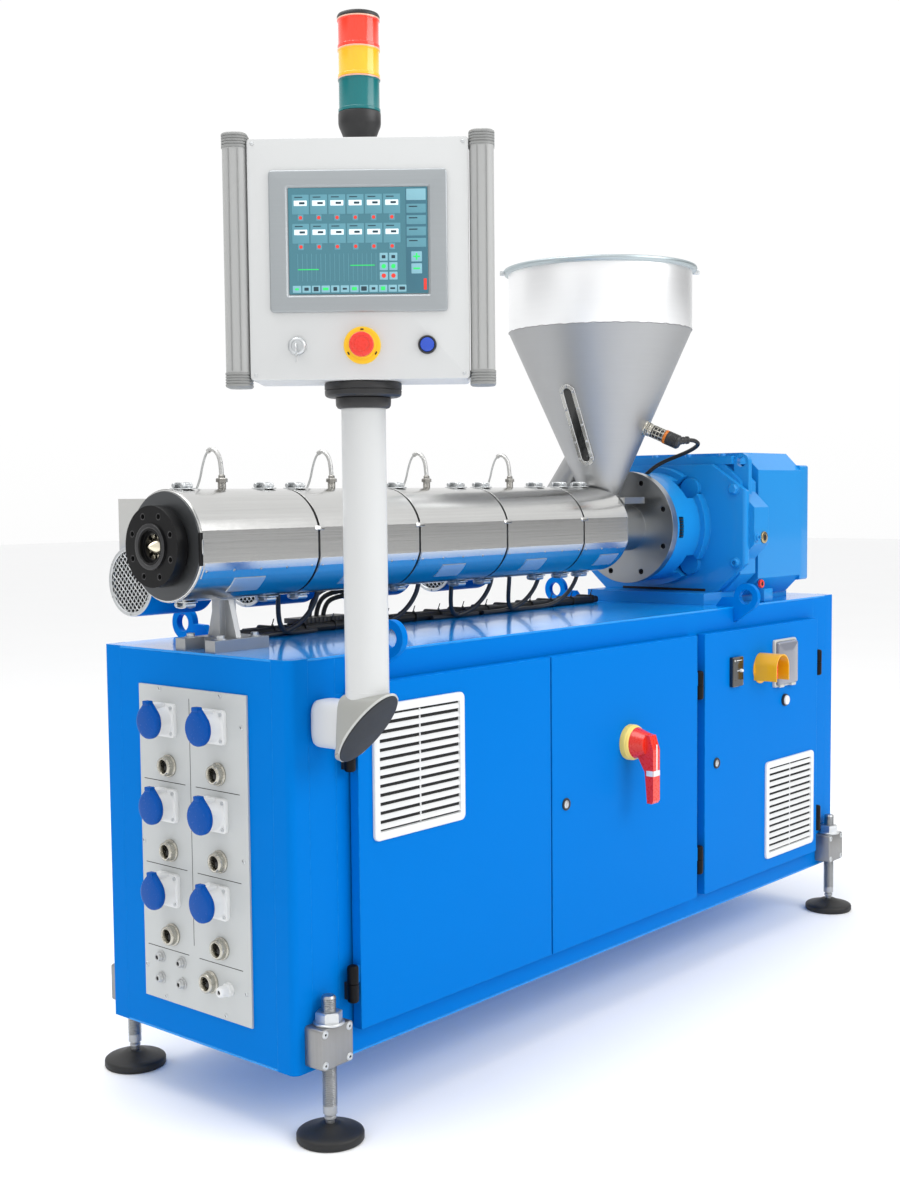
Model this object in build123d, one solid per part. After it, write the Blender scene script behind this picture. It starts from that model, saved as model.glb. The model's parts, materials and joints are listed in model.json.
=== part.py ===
from build123d import *
import math
import os

# Plastic extruder: a long cabinet on levelling feet carries a heated barrel, a gearbox and a hopper.
# x runs from the die end to the gearbox end, y from the door side to the far side, z up from the floor.
# All sizes are in mm.

# cabinet
cab_l = 2000.0
cab_w = 510.0
cab_h = 725.0
foot_h = 123.0
corner_r = 45.0
sheet = 4.0
wrap = 110.0
frame_d = 30.0

# doors
door_edge = 140.0
door_rear = 134.0
door_share = 0.33373
door_split = 5.0
door_post = 34.0
door_low = 52.0
door_high = 54.0
door_t = 20.0
seal_gap = 5.0
door_skin = 3.0
lap = 15.0
hinge_r = 7.0
hinge_l = 62.0
pin_r = 3.0
hinge_off = 14.5
hinge_in = 6.0
hinge_top = 118.0
hinge_low = 86.0

# barrel line
axis_h = 193.0
screw_r = 22.5
run_gap = 0.3
fit_gap = 0.2
barrel_r = 58.0
cover_r = 101.0
cover_flat = 97.0
zone_l = 282.0
zone_last = 178.0
zone_count = 4
seam_w = 6.0
nose_out = 50.0
plate_t = 5.0
die_r = 72.5
die_t = 22.0
die_boss_r = 66.0
die_l = 30.0

# feed end and gearbox
feed_l = 133.0
feed_back = 31.0
flange_r = 138.5
flange_t = 22.0
nose_r = 136.0
ring_r = 150.0
nose_l = 134.0
case_l = 105.0
case_half = 250.0
case_up = 155.0
case_down = 164.0
case_t = 16.0
rear_l = 262.0
rear_half = 225.0
rear_up = 185.0
rear_down = 179.0
rear_cut = 45.0

# hopper
hop_in = 24.0
hop_r = 220.0
hop_neck = 45.0
hop_wall = 4.0
neck_z = 55.0
cone_z = 82.0
drum_z = 474.0
rim_z = 624.0
rim_r = 229.0
rim_h = 10.0

# pendant arm
arm_x = 72.0
arm_out = 116.0
tube_r = 37.0
elbow_drop = 113.0
elbow_x = 46.0
elbow_y = 55.0
elbow_up = 62.0
stub_r = 42.0
stub_l = 41.0
pend_rise = 466.0
pend_w = 356.0
pend_d = 130.0
pend_h = 386.0
pend_yaw = -50.0

# values that follow from the sizes
z0 = foot_h
z1 = foot_h + cab_h
yc = cab_w / 2
za = z1 + axis_h
door_z0 = z0 + door_low
door_z1 = z1 - door_high
door_y1 = -seal_gap
door_y0 = door_y1 - door_t
door_free = cab_l - door_edge - door_rear - door_split - door_post
door_w = door_free * door_share
door3_w = door_free - 2 * door_w
d1x0 = door_edge
d1x1 = d1x0 + door_w
d2x0 = d1x1 + door_split
d2x1 = d2x0 + door_w
d3x0 = d2x1 + door_post
d3x1 = d3x0 + door3_w
hinge_y = door_y0 + hinge_in
h1x = d1x0 - hinge_off
h2x = d2x1 + door_post / 2
h3x = d3x1 + hinge_off
hinge_z = (door_z0 + hinge_low, door_z1 - hinge_top)
bore_r = screw_r + run_gap
zone_x = [-nose_out + i * zone_l for i in range(zone_count + 1)]
zone_end = zone_x[zone_count] + zone_last
flange_x = zone_end + feed_l
case_x = flange_x + flange_t + nose_l
rear_x = case_x + case_l
hop_x = zone_end + hop_in
die_x = zone_x[0] - plate_t - die_l
pend_z = z1 + pend_rise
arm_y = -arm_out

pieces = {}


def box(x0, x1, y0, y1, b0, b1):
    return Pos((x0 + x1) / 2, (y0 + y1) / 2, (b0 + b1) / 2) * Box(x1 - x0, y1 - y0, b1 - b0)


def xcyl(x0, x1, y, z, r):
    return Pos((x0 + x1) / 2, y, z) * Rot(0, 90, 0) * Cylinder(r, x1 - x0)


def ycyl(y0, y1, x, z, r):
    return Pos(x, (y0 + y1) / 2, z) * Rot(90, 0, 0) * Cylinder(r, y1 - y0)


def zcyl(b0, b1, x, y, r):
    return Pos(x, y, (b0 + b1) / 2) * Cylinder(r, b1 - b0)


def prism_x(pts, x0, x1):
    face = make_face(Polyline(*pts, close=True))
    return extrude(Plane.YZ.offset(x0) * face, x1 - x0)


def lathe_z(pts, x, y):
    face = Plane.XZ * make_face(Polyline(*pts, close=True))
    return Pos(x, y, 0) * revolve(face, Axis.Z)


def tube(pts, r):
    # straight runs joined by tangent arcs, each as large as its two runs allow
    pts = [Vector(*p) for p in pts]
    edges = []
    radii = []
    last = pts[0]
    for a, b, c in zip(pts, pts[1:], pts[2:]):
        d1 = (b - a).normalized()
        d2 = (c - b).normalized()
        half = math.radians(d1.get_angle(d2)) / 2
        t = 0.45 * min((b - a).length, (c - b).length)
        rad = t / math.tan(half)
        mid = b + (d2 - d1).normalized() * (rad / math.cos(half) - rad)
        edges.append(Line(last, b - d1 * t))
        edges.append(ThreePointArc(b - d1 * t, mid, b + d2 * t))
        last = b + d2 * t
        radii.append(round(rad))
    edges.append(Line(last, pts[-1]))
    path = Wire([e.edge() for e in edges])
    solid = sweep(Plane(origin=pts[0], z_dir=pts[1] - pts[0]) * Circle(r), path=path)
    print("tube radii", radii, "volume over section", round(solid.volume / (math.pi * r * r * path.length), 3))
    return solid


def group(shapes):
    return Compound([s for shape in shapes for s in shape.solids()])


# Cabinet: rounded plan, top and floor plates, wrapped ends, back wall, door frame
plan = Pos(cab_l / 2, cab_w / 2) * RectangleRounded(cab_l, cab_w, corner_r)
plan_in = Pos(cab_l / 2, cab_w / 2) * RectangleRounded(cab_l - 2 * sheet, cab_w - 2 * sheet, corner_r - sheet)
pieces["cabinet_plates"] = group([
    Pos(0, 0, z0) * extrude(plan, sheet),
    Pos(0, 0, z1 - sheet) * extrude(plan, sheet),
])
wall = Pos(0, 0, z0 + sheet) * extrude(plan - plan_in, cab_h - 2 * sheet)
pieces["cabinet_front_end"] = wall & box(-1, wrap, -1, cab_w + 1, z0, z1)
pieces["cabinet_rear_end"] = wall & box(cab_l - wrap, cab_l + 1, -1, cab_w + 1, z0, z1)
pieces["cabinet_back_wall"] = box(wrap, cab_l - wrap, cab_w - sheet, cab_w, z0 + sheet, z1 - sheet)
rail_z0 = door_z0 + lap
rail_z1 = door_z1 - lap
pieces["door_rails"] = group([
    box(wrap, cab_l - wrap, 0, frame_d, z0 + sheet, rail_z0),
    box(wrap, cab_l - wrap, 0, frame_d, rail_z1, z1 - sheet),
])
pieces["door_posts"] = group([
    box(wrap, d1x0 + lap, 0, frame_d, rail_z0, rail_z1),
    box(d2x1 - lap, d3x0 + lap, 0, frame_d, rail_z0, rail_z1),
    box(d3x1 - lap, cab_l - wrap, 0, frame_d, rail_z0, rail_z1),
])


# Doors are shallow folded pans that hang proud of the frame
# The upper half of each hinge turns with the door on a pin of the lower half
def pan(x0, x1, hinge_x):
    body = box(x0, x1, door_y0, door_y1, door_z0, door_z1)
    s = door_skin
    body = body - box(x0 + s, x1 - s, door_y0 + s, door_y1 + 1, door_z0 + s, door_z1 - s)
    edge = x0 if hinge_x < x0 else x1
    for z in hinge_z:
        half = zcyl(z + run_gap, z + hinge_l / 2, hinge_x, hinge_y, hinge_r)
        half = half + box(min(edge, hinge_x), max(edge, hinge_x), hinge_y - 3, hinge_y + 3, z + run_gap, z + hinge_l / 2)
        body = body + (half - zcyl(z - 1, z + hinge_l, hinge_x, hinge_y, pin_r + run_gap))
    return body


pieces["door_1"] = pan(d1x0, d1x1, h1x)
pieces["door_2"] = pan(d2x0, d2x1, h2x)
pieces["door_3"] = pan(d3x0, d3x1, h3x)


def knuckle(x, z):
    half = zcyl(z - hinge_l / 2, z, x, hinge_y, hinge_r) + zcyl(z, z + hinge_l / 2, x, hinge_y, pin_r)
    return half + box(x - 3, x + 3, hinge_y, 0, z - hinge_l / 2, z)


pieces["door_hinges"] = group([knuckle(x, z) for x in (h1x, h2x, h3x) for z in hinge_z])

# Louvred air grilles on two of the doors
vent_w = 250.0
vent_t = 10.0
vent_in_w = 212.0
vent_in_h = 206.0
slat_n = 13


def grille(x, z):
    face = Plane.XZ.offset(-door_y0) * (Pos(x, z) * RectangleRounded(vent_w, vent_w, 12.0))
    body = extrude(face, vent_t)
    y0 = door_y0 - vent_t
    body = body - box(x - vent_in_w / 2, x + vent_in_w / 2, y0 - 1, door_y0 - 2.0,
                      z - vent_in_h / 2, z + vent_in_h / 2)
    pitch = vent_in_h / slat_n
    for i in range(slat_n):
        zi = z - vent_in_h / 2 + pitch * (i + 0.5)
        pts = [(door_y0 - 1.5, zi + 6.4), (y0 + 0.6, zi - 3.0), (y0 + 0.6, zi - 5.4), (door_y0 - 1.5, zi + 4.0)]
        body = body + prism_x(pts, x - vent_in_w / 2 - 1, x + vent_in_w / 2 + 1)
    return body


vent1_x = d1x0 + 168.0
vent1_z = z0 + 500.0
vent3_gap = 24.995
vent3_x = d3x1 - vent3_gap - vent_w / 2
vent3_z = z0 + 204.0
pieces["vent_grille_1"] = grille(vent1_x, vent1_z)
pieces["vent_grille_3"] = grille(vent3_x, vent3_z)

# Main switch: yellow disc on the second door, red handle that turns a quarter
sw_x = (d2x0 + d2x1) / 2
sw_z = z0 + 459.0
sw_r = 39.0
sw_t = 20.0
pieces["switch_disc"] = ycyl(door_y0 - sw_t, door_y0, sw_x, sw_z, sw_r)
hy1 = door_y0 - sw_t - run_gap
hub = Pos(sw_x, hy1, sw_z) * Rot(90, 0, 0) * Cone(34, 24, 30, align=(Align.CENTER, Align.CENTER, Align.MIN))
grip_pts = [(hy1 - 8, sw_z + 24), (hy1 - 40, sw_z + 20), (hy1 - 50, sw_z - 10), (hy1 - 50, sw_z - 122),
            (hy1 - 46, sw_z - 128), (hy1 - 34, sw_z - 128), (hy1 - 28, sw_z - 60), (hy1 - 8, sw_z - 24)]
pieces["switch_handle"] = hub + prism_x(grip_pts, sw_x - 13, sw_x + 13)

# Third door: half-round guard over a red knob
gd_x = d3x0 + 261.0
gd_z = z0 + 574.0
gd_r = 32.0
gd_l = 62.0
guard = ycyl(door_y0 - gd_l, door_y0, gd_x, gd_z, gd_r)
guard = guard + box(gd_x - gd_r, gd_x + gd_r, door_y0 - gd_l, door_y0, gd_z - 34, gd_z)
hollow = ycyl(door_y0 - gd_l - 1, door_y0 + 1, gd_x, gd_z, gd_r - 3)
hollow = hollow + box(gd_x - gd_r + 3, gd_x + gd_r - 3, door_y0 - gd_l - 1, door_y0 + 1, gd_z - 40, gd_z)
guard = guard - hollow - box(gd_x - 50, gd_x + 50, door_y0 - gd_l - 1, door_y0 + 1, gd_z - 80, gd_z - 34)
pieces["knob_guard"] = guard
knob = ycyl(door_y0 - 26, door_y0, gd_x, gd_z - 8, 14)
knob = knob + box(gd_x - 5, gd_x + 5, door_y0 - 46, door_y0 - 26, gd_z - 30, gd_z + 14)
pieces["guard_knob"] = knob

# Third door: meter, framed window and push button
pieces["door_gauges"] = group([
    box(d3x0 + 112, d3x0 + 162, door_y0 - 10, door_y0, z0 + 535, z0 + 607),
    box(d3x0 + 322, d3x0 + 434, door_y0 - 16, door_y0, z0 + 512, z0 + 632),
    ycyl(door_y0 - 10, door_y0, d3x0 + 384, z0 + 475, 15),
])

# Socket plate on the front end with its row of outlets
plate_w = 300.0
plate_h = 594.0
plate_x = -4.0
plate_z = z0 + 361.0
pieces["socket_plate"] = box(plate_x, 0, yc - plate_w / 2, yc + plate_w / 2,
                             plate_z - plate_h / 2, plate_z + plate_h / 2)
col_y = (yc - 66.0, yc + 72.0)
row_z = [plate_z + 235.0 - 158.5 * i for i in range(3)]
sock_t = 34.0
lid_r = 31.0
lid_top_r = 12.0
lid_up = 27.0
lid_t = 12.0
lid_face = make_hull((Circle(lid_r) + Pos(0, lid_up) * Circle(lid_top_r)).edges())
bodies = []
lids = []
for y in col_y:
    for z in row_z:
        s = box(plate_x - 8, plate_x, y - 31, y + 31, z - 31, z + 31)
        bodies.append(s + xcyl(plate_x - sock_t, plate_x - 8, y, z, 26))
        lids.append(Plane.YZ.offset(plate_x - sock_t - lid_t) * Pos(y, z) * extrude(lid_face, lid_t - run_gap))
pieces["socket_bodies"] = group(bodies)
pieces["socket_lids"] = group(lids)
ports = [(y - 6.0, z - 85.0) for y in col_y for z in row_z]
ports.append((yc - 40.0, plate_z - 235.0))
rings = []
for y, z in ports:
    r = xcyl(plate_x - 16, plate_x, y, z, 17) + xcyl(plate_x - 4, plate_x, y, z, 21)
    rings.append(r - xcyl(plate_x - 17, plate_x - 3, y, z, 12))
pieces["round_connectors"] = group(rings)
plugs = [xcyl(plate_x - 12, plate_x, yc + dy, plate_z + dz, 11)
         for dy, dz in ((101, -215), (40, -215), (101, -255), (40, -255))]
plugs.append(xcyl(plate_x - 26, plate_x, yc - 91, plate_z - 238, 13))
pieces["cable_glands"] = group(plugs)

# Levelling feet
foot_x = (62.0, cab_l - 52.0)
foot_out = 21.0
foot_y = (-foot_out, cab_w + foot_out)
blk_w = 77.0
blk_z0 = z0 + 13.0
blk_z1 = z0 + 85.0
spin_r = 13.0
spin_up = 50.0
nut_r = 24.0
nut_h = 22.0
pad_r = 60.0
pad_h = 30.0
neck_h = 10.0
blocks = []
spindles = []
pads = []
for x in foot_x:
    for y in foot_y:
        b = box(x - blk_w / 2, x + blk_w / 2, y - foot_out, y + foot_out, blk_z0, blk_z1)
        blocks.append(b - zcyl(blk_z0 - 1, blk_z1 + 1, x, y, spin_r + fit_gap))
        s = zcyl(pad_h + neck_h, blk_z1 + spin_up, x, y, spin_r)
        nut = Pos(x, y, blk_z1) * extrude(RegularPolygon(nut_r, 6), nut_h)
        spindles.append(s + nut + zcyl(pad_h, pad_h + neck_h, x, y, spin_r - 3))
        pads.append(lathe_z([(0, 0), (pad_r, 0), (pad_r, 0.45 * pad_h), (pad_r - 7, 0.6 * pad_h),
                             (pad_r / 2, 0.75 * pad_h), (pad_r / 2 - 6, pad_h), (0, pad_h)], x, y))
pieces["foot_blocks"] = group(blocks)
pieces["foot_spindles"] = group(spindles)
pieces["foot_pads"] = group(pads)

# Lifting lugs at the top of both long sides
lug_x = (222.0, 1485.0)
lug_out = 33.0
lug_up = 24.0
lug_r = 33.0
lug_hole = 18.0
lug_t = 14.0
lugs = []
for x in lug_x:
    for s in (-1, 1):
        e = 0.0 if s < 0 else cab_w
        cy = e + s * lug_out
        cz = z1 + lug_up
        pts = [(e, z1 - 38), (cy + s * lug_r * 0.6, cz - lug_r * 0.8), (cy, cz), (e - s * 32, z1 + 22), (e - s * 50, z1),
               (e, z1)]
        p = prism_x(pts, x - lug_t / 2, x + lug_t / 2)
        p = p + xcyl(x - lug_t / 2, x + lug_t / 2, cy, cz, lug_r)
        p = p - xcyl(x - lug_t, x + lug_t, cy, cz, lug_hole)
        inner = box(x - 20, x + 20, 0, cab_w, z0, z1)
        lugs.append(p - inner)
pieces["lifting_lugs"] = group(lugs)

# Barrel, die flange and heated zone covers
bar_x0 = zone_x[0] - plate_t
feed_x0 = zone_end - feed_back
pieces["barrel"] = xcyl(bar_x0, feed_x0, yc, za, barrel_r) - xcyl(bar_x0 - 1, feed_x0 + 1, yc, za, bore_r)
die = xcyl(die_x, die_x + die_t, yc, za, die_r) + xcyl(die_x, bar_x0, yc, za, die_boss_r)
die = die + xcyl(die_x - 3, die_x, yc, za, 41)
die = die - xcyl(die_x - 4, bar_x0 + 1, yc, za, bore_r) - xcyl(die_x - 4, die_x + 5, yc, za, 29)
for i in range(8):
    a = math.radians(22.5 + 45 * i)
    die = die - xcyl(die_x - 1, die_x + 14, yc + 57 * math.cos(a), za + 57 * math.sin(a), 5)
pieces["die_flange"] = die
pieces["barrel_end_plate"] = (xcyl(bar_x0, zone_x[0], yc, za, cover_flat)
                              - xcyl(bar_x0 - 1, zone_x[0] + 1, yc, za, barrel_r + fit_gap))


def shell(x0, x1, r):
    s = xcyl(x0, x1, yc, za, r)
    s = s & box(x0 - 1, x1 + 1, yc - cover_flat, yc + cover_flat, za - r - 1, za + r + 1)
    return s - xcyl(x0 - 1, x1 + 1, yc, za, barrel_r + fit_gap)


neck_gap = 6.0
covers = []
seams = []
for i in range(zone_count + 1):
    x0 = zone_x[i] + (seam_w / 2 if i else 0.0)
    x1 = (zone_x[i + 1] - seam_w / 2) if i < zone_count else zone_end
    c = shell(x0, x1, cover_r)
    if i == zone_count:
        c = c - zcyl(za + 20, za + cover_r + 5, hop_x, yc, hop_neck + neck_gap + 8)
    covers.append(c)
    if i:
        x = zone_x[i]
        ring = xcyl(x - seam_w / 2, x + seam_w / 2, yc, za, cover_flat - 3)
        seams.append(ring - xcyl(x - seam_w, x + seam_w, yc, za, barrel_r + fit_gap))
pieces["zone_covers"] = group(covers)
pieces["zone_seams"] = group(seams)

# Screw with a pointed, fluted head that shows in the die
screw_end = flange_x + flange_t
tip_out = 5.0
tip_l = 16.0
head_x = die_x - tip_out + tip_l
head_l = 57.0
root_r = 16.0
screw = xcyl(head_x, screw_end - 2, yc, za, root_r)
head = xcyl(head_x, head_x + head_l, yc, za, screw_r)
for i in range(8):
    a = 45.0 * i
    slot = Pos(head_x + head_l / 2, yc, za) * Rot(a, 0, 0) * Pos(0, 0, root_r + 7) * Box(head_l + 2, 7, 14)
    head = head - slot
tip = Pos(head_x - tip_l / 2, yc, za) * Rot(0, -90, 0) * Cone(root_r, 2.0, tip_l)
pieces["screw"] = screw + head + tip

# Feed housing under the hopper, its flange, and the gearbox
feed = xcyl(feed_x0, flange_x, yc, za, barrel_r)
feed = feed + xcyl(flange_x, flange_x + flange_t, yc, za, flange_r)
feed = feed + (zcyl(za, za + neck_z, hop_x, yc, hop_neck))
feed = feed + box(zone_end + 3, zone_end + 89, yc - 85, yc + 85, za + 60, za + 75)
feed = feed + box(zone_end + 20, zone_end + 70, yc - 40, yc + 40, za + 30, za + 62)
feed = feed - zcyl(za + neck_z, za + 90, hop_x, yc, hop_neck + fit_gap)
feed = feed - zcyl(za, za + 90, hop_x, yc, hop_neck - hop_wall - 8)
feed = feed - xcyl(feed_x0 - 1, flange_x + flange_t + 1, yc, za, bore_r)
for i in range(8):
    a = math.radians(22.5 + 45 * i)
    feed = feed - xcyl(flange_x - 1, flange_x + 10, yc + 118 * math.cos(a), za + 118 * math.sin(a), 7)
pieces["feed_housing"] = feed

nose_x = flange_x + flange_t


def octagon(half, down, up, low, high):
    # low and high are the corner cuts as (along y, along z)
    pts = [(half, low[1] - down), (half - low[0], -down), (low[0] - half, -down), (-half, low[1] - down),
           (-half, up - high[1]), (high[0] - half, up), (half - high[0], up), (half, up - high[1])]
    return [(yc + a, za + b) for a, b in pts]


# the front plate stands out past the casing behind it, and a groove parts the casing from the rear housing
low_cut = (81.0, 73.0)
high_cut = (99.0, 68.0)
side_in = case_half - rear_half
groove = 14.0
edge_r = 11.0
case = prism_x(octagon(case_half, case_down, case_up, low_cut, high_cut), case_x, case_x + case_t)
case = fillet(case.faces().sort_by(Axis.X)[0].edges().filter_by(Axis.Z), edge_r)
even_cut = (rear_cut, rear_cut)
case = case + prism_x(octagon(rear_half, case_down, case_up, even_cut, even_cut), case_x + case_t, rear_x - groove)
case = case + prism_x(octagon(rear_half - side_in, case_down, case_up, even_cut, even_cut), rear_x - groove, rear_x)
case = case + xcyl(nose_x, case_x, yc, za, nose_r) + xcyl(case_x - 27, case_x, yc, za, ring_r)
bar_in = 50.0
bar_h = 20.0
case = case + box(case_x + 15, rear_x, yc - case_half + bar_in, yc + case_half - bar_in, za + case_up, za + case_up + bar_h)
# boss with sloped ends on the door side
boss_out = 39.0
boss_low = 44.0
boss_high = 47.0
side_y = yc - rear_half
boss = [(side_y, za - boss_low - boss_out), (side_y - boss_out, za - boss_low), (side_y - boss_out, za + boss_high),
        (side_y, za + boss_high + boss_out)]
case = case + prism_x(boss, case_x + case_t, rear_x - groove - 4)
# four bolt pockets break the nose and its ring, and a slot opens on the door side
pocket_l = 58.0
pocket_w = 62.0
pocket_d = 24.0
for a in (45, 135, 225, 315):
    cut = Pos((case_x - pocket_l / 2), yc, za) * Rot(a, 0, 0) * Pos(0, 0, nose_r - pocket_d + ring_r / 2)
    case = case - cut * Box(pocket_l, pocket_w, ring_r)
    case = case + Pos(case_x - 6, yc, za) * Rot(a, 0, 0) * Pos(0, 0, nose_r - 2) * Rot(0, 90, 0) * Cylinder(26, 12)
slot_x = nose_x + 12.0
slot_w = 20.0
case = case - box(slot_x, slot_x + slot_w, yc - nose_r - 1, yc - nose_r + 14, za - 26, za + 26)
# lifting eye on the corner towards the door side
eye_r = 20.5
eye_hole = 12.5
eye_t = 16.0
eye_x = case_x + case_t + 12.0
eye_y = side_y + 5.0
eye_z = za + case_up + 5.0
eye = xcyl(eye_x, eye_x + eye_t, eye_y, eye_z, eye_r)
eye = eye + box(eye_x, eye_x + eye_t, eye_y - eye_r, eye_y + eye_r, za + 80, eye_z)
case = case + (eye - xcyl(eye_x - 1, eye_x + eye_t + 1, eye_y, eye_z, eye_hole))
pieces["gearbox_case"] = case
rear_end = rear_x + rear_l
rear_body = prism_x(octagon(rear_half, rear_down, rear_up, even_cut, even_cut), rear_x, rear_end)
pieces["gearbox_rear"] = chamfer(rear_body.faces().sort_by(Axis.X)[-1].edges(), 0.8 * rear_cut)
base = box(nose_x + 60, rear_x, yc - 175, yc + 175, z1, za - case_down)
base = base + box(rear_x, rear_end - 20, yc - 175, yc + 175, z1, za - rear_down)
pieces["gearbox_base"] = base

# Hopper: drum, cone and side chute in one stainless shell
w = hop_wall
rim_soft = 3.0
outer = lathe_z([(0, za + neck_z), (hop_neck, za + neck_z), (hop_neck, za + cone_z), (hop_r, za + drum_z),
                 (hop_r, za + rim_z - rim_h), (rim_r - rim_soft, za + rim_z - rim_h), (rim_r, za + rim_z - rim_h + rim_soft),
                 (rim_r, za + rim_z - rim_soft), (rim_r - rim_soft, za + rim_z), (0, za + rim_z)], hop_x, yc)
inner = lathe_z([(0, za + neck_z - 1), (hop_neck - w, za + neck_z - 1), (hop_neck - w, za + cone_z),
                 (hop_r - w, za + drum_z), (hop_r - w, za + rim_z + 1), (0, za + rim_z + 1)], hop_x, yc)
chute_r = 32.0
chute_a = math.degrees(math.atan2(0.6, 0.8))
chute_at = Pos(hop_x, yc + 94, za + 132) * Rot(chute_a, 0, 0)
chute = chute_at * (Pos(0, 0, -36) * Cylinder(chute_r, 192))
chute_in = chute_at * (Pos(0, 0, -36) * Cylinder(chute_r - 3, 200))
cut_low = box(hop_x - 100, hop_x + 100, yc, yc + 400, za - 200, za + 42)
pieces["hopper"] = outer + (chute - cut_low) - inner - chute_in

# Level sensor on the cone with its lead
az = math.radians(-74.0)
slope = math.atan2(hop_r - hop_neck, drum_z - cone_z)
sz = za + 240.0
sr = hop_neck + (sz - za - cone_z) * math.tan(slope)
ux = math.cos(az) * math.cos(slope)
uy = math.sin(az) * math.cos(slope)
uz = -math.sin(slope)
foot = Vector(hop_x + sr * math.cos(az), yc + sr * math.sin(az), sz)
way = Vector(ux, uy, uz)


def along(a, b, r):
    return Plane(origin=foot + way * a, z_dir=way) * Pos(0, 0, (b - a) / 2) * Cylinder(r, b - a)


cone_full = lathe_z([(0, za + cone_z), (hop_neck + fit_gap, za + cone_z), (hop_r + fit_gap, za + drum_z),
                     (0, za + drum_z)], hop_x, yc)
sensor = (along(-14, 12, 20) - cone_full) + along(6, 58, 15.5) + along(56, 90, 17)
plug = foot + way * 80
boot = Vector(40, -16, 3.5)
boot_l = 36.0
sensor = sensor + Plane(origin=plug, z_dir=boot) * Pos(0, 0, boot_l / 2) * Cylinder(8.5, boot_l)
lead_r = 5.0
lead_pts = [plug + boot * 0.5, plug + boot * 1.15]
lead_pts += [Vector(nose_x + dx, yc + dy, za + dz) for dx, dy, dz in (
    (-6, -198, 205), (13, -187, 200), (26, -167, 192), (38, -139, 183.5), (44, -105, 174), (42, -70, 162),
    (33, -44, 147), (26, -24, 127))]
pieces["level_sensor"] = sensor + tube(lead_pts, lead_r) - xcyl(nose_x, case_x, yc, za, nose_r + fit_gap)

# Sight window: slotted frame laid on the cone along its slope, towards the die end
win_a = math.radians(-172.0)
win_h = 247.5
win_l = 206.0
win_w = 41.0
win_slot = 21.0
win_lean = 0.075
win_r = hop_neck + (win_h - cone_z) * math.tan(slope)
win_out = Vector(math.cos(win_a) * math.cos(slope), math.sin(win_a) * math.cos(slope), -math.sin(slope))
win_rise = Vector(math.cos(win_a) * math.sin(slope), math.sin(win_a) * math.sin(slope), math.cos(slope))
win_rise = win_rise - Vector(-math.sin(win_a), math.cos(win_a), 0) * win_lean
win_at = Vector(hop_x + win_r * math.cos(win_a), yc + win_r * math.sin(win_a), za + win_h)
win = Plane(origin=win_at, x_dir=win_rise, z_dir=win_out)
frame = win * (Pos(0, 0, -4) * extrude(SlotOverall(win_l, win_w), 8)) - cone_full
pieces["sight_window"] = frame - win * (Pos(0, 0, 2) * extrude(SlotOverall(win_l + win_slot - win_w, win_slot), 4))

# Zone boxes, blowers and thermocouples
bx0 = 50.0
bx1 = 240.0
box_y1 = yc + 204.0
blow_y = yc + 158.0
blow_z = za - 70.0
blow_r = 65.5
boxes = []
blowers = []
couples = []
for i in range(zone_count):
    x = zone_x[i]
    b = box(x + bx0, x + bx1, yc + cover_flat, box_y1, za - 16, za + 84)
    b = b - xcyl(x, x + zone_l, blow_y, blow_z, blow_r + fit_gap) - xcyl(x, x + zone_l, yc, za, cover_r + fit_gap)
    b = b + box(x + bx0, x + bx1, yc + cover_flat, yc + cover_flat + 8, za - 16, za + 27)
    boxes.append(b)
    f = xcyl(x + 40, x + 190, blow_y, blow_z, blow_r) - xcyl(x + 39, x + 46, blow_y, blow_z, blow_r - 8)
    blowers.append(f)
    xt = x + 130.0
    stem = zcyl(za + 95, za + 126, xt, yc, 8) + zcyl(za + 112, za + 118, xt, yc, 11)
    stem = stem - xcyl(x, x + zone_l, yc, za, cover_r + 0.1)
    lead = tube([(xt + dx, yc + dy, za + dz) for dx, dy, dz in (
        (0, 0, 118), (0, 1, 146), (-1, 8, 166), (-3, 22, 176), (-5, 36, 168), (-7, 45, 146), (-9, 51, 118),
        (-12, 62, 94), (-14, 79, 78), (-14, 98, 72))], 4.0)
    lead = lead - box(x, x + zone_l, yc + cover_flat, box_y1, za, za + 84)
    couples.append(stem + lead)
pieces["zone_boxes"] = group(boxes)
pieces["blowers"] = group(blowers)
pieces["thermocouples"] = group(couples)

# Barrel support on the cabinet top
sup_x = 79.0
sup_h = 22.0
sup = box(sup_x - 70, sup_x + 60, yc - 55, yc + 55, z1, z1 + sup_h)
sup = sup - box(sup_x - 71, sup_x - 24, yc - 28, yc + 28, z1 - 1, z1 + sup_h + 1)
web = prism_x([(yc - 40, z1 + sup_h), (yc + 40, z1 + sup_h), (yc + 16, za - 88), (yc - 16, za - 88)],
              sup_x - 6, sup_x + 6)
leg = box(sup_x - 20, sup_x + 20, yc - 10, yc + 10, z1 + sup_h, za - 88)
top_pad = box(sup_x - 24, sup_x + 24, yc - 20, yc + 20, za - 102, za - 88)
sup = sup + web + leg + top_pad
pieces["barrel_support"] = sup - xcyl(sup_x - 100, sup_x + 100, yc, za, cover_r + fit_gap)

# Cable loom along the cabinet top and the drops from each zone
loom_r = 9.0
loom_y = cab_w - 130.0
loom_step = 19.0
loom_z = z1 + loom_r + fit_gap
loom = []
for k in range(3):
    y = loom_y + (k - 1) * loom_step
    loom.append(xcyl(170 + 40 * k, flange_x + 20, y, loom_z, loom_r))
drop_r = 5.0
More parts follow.
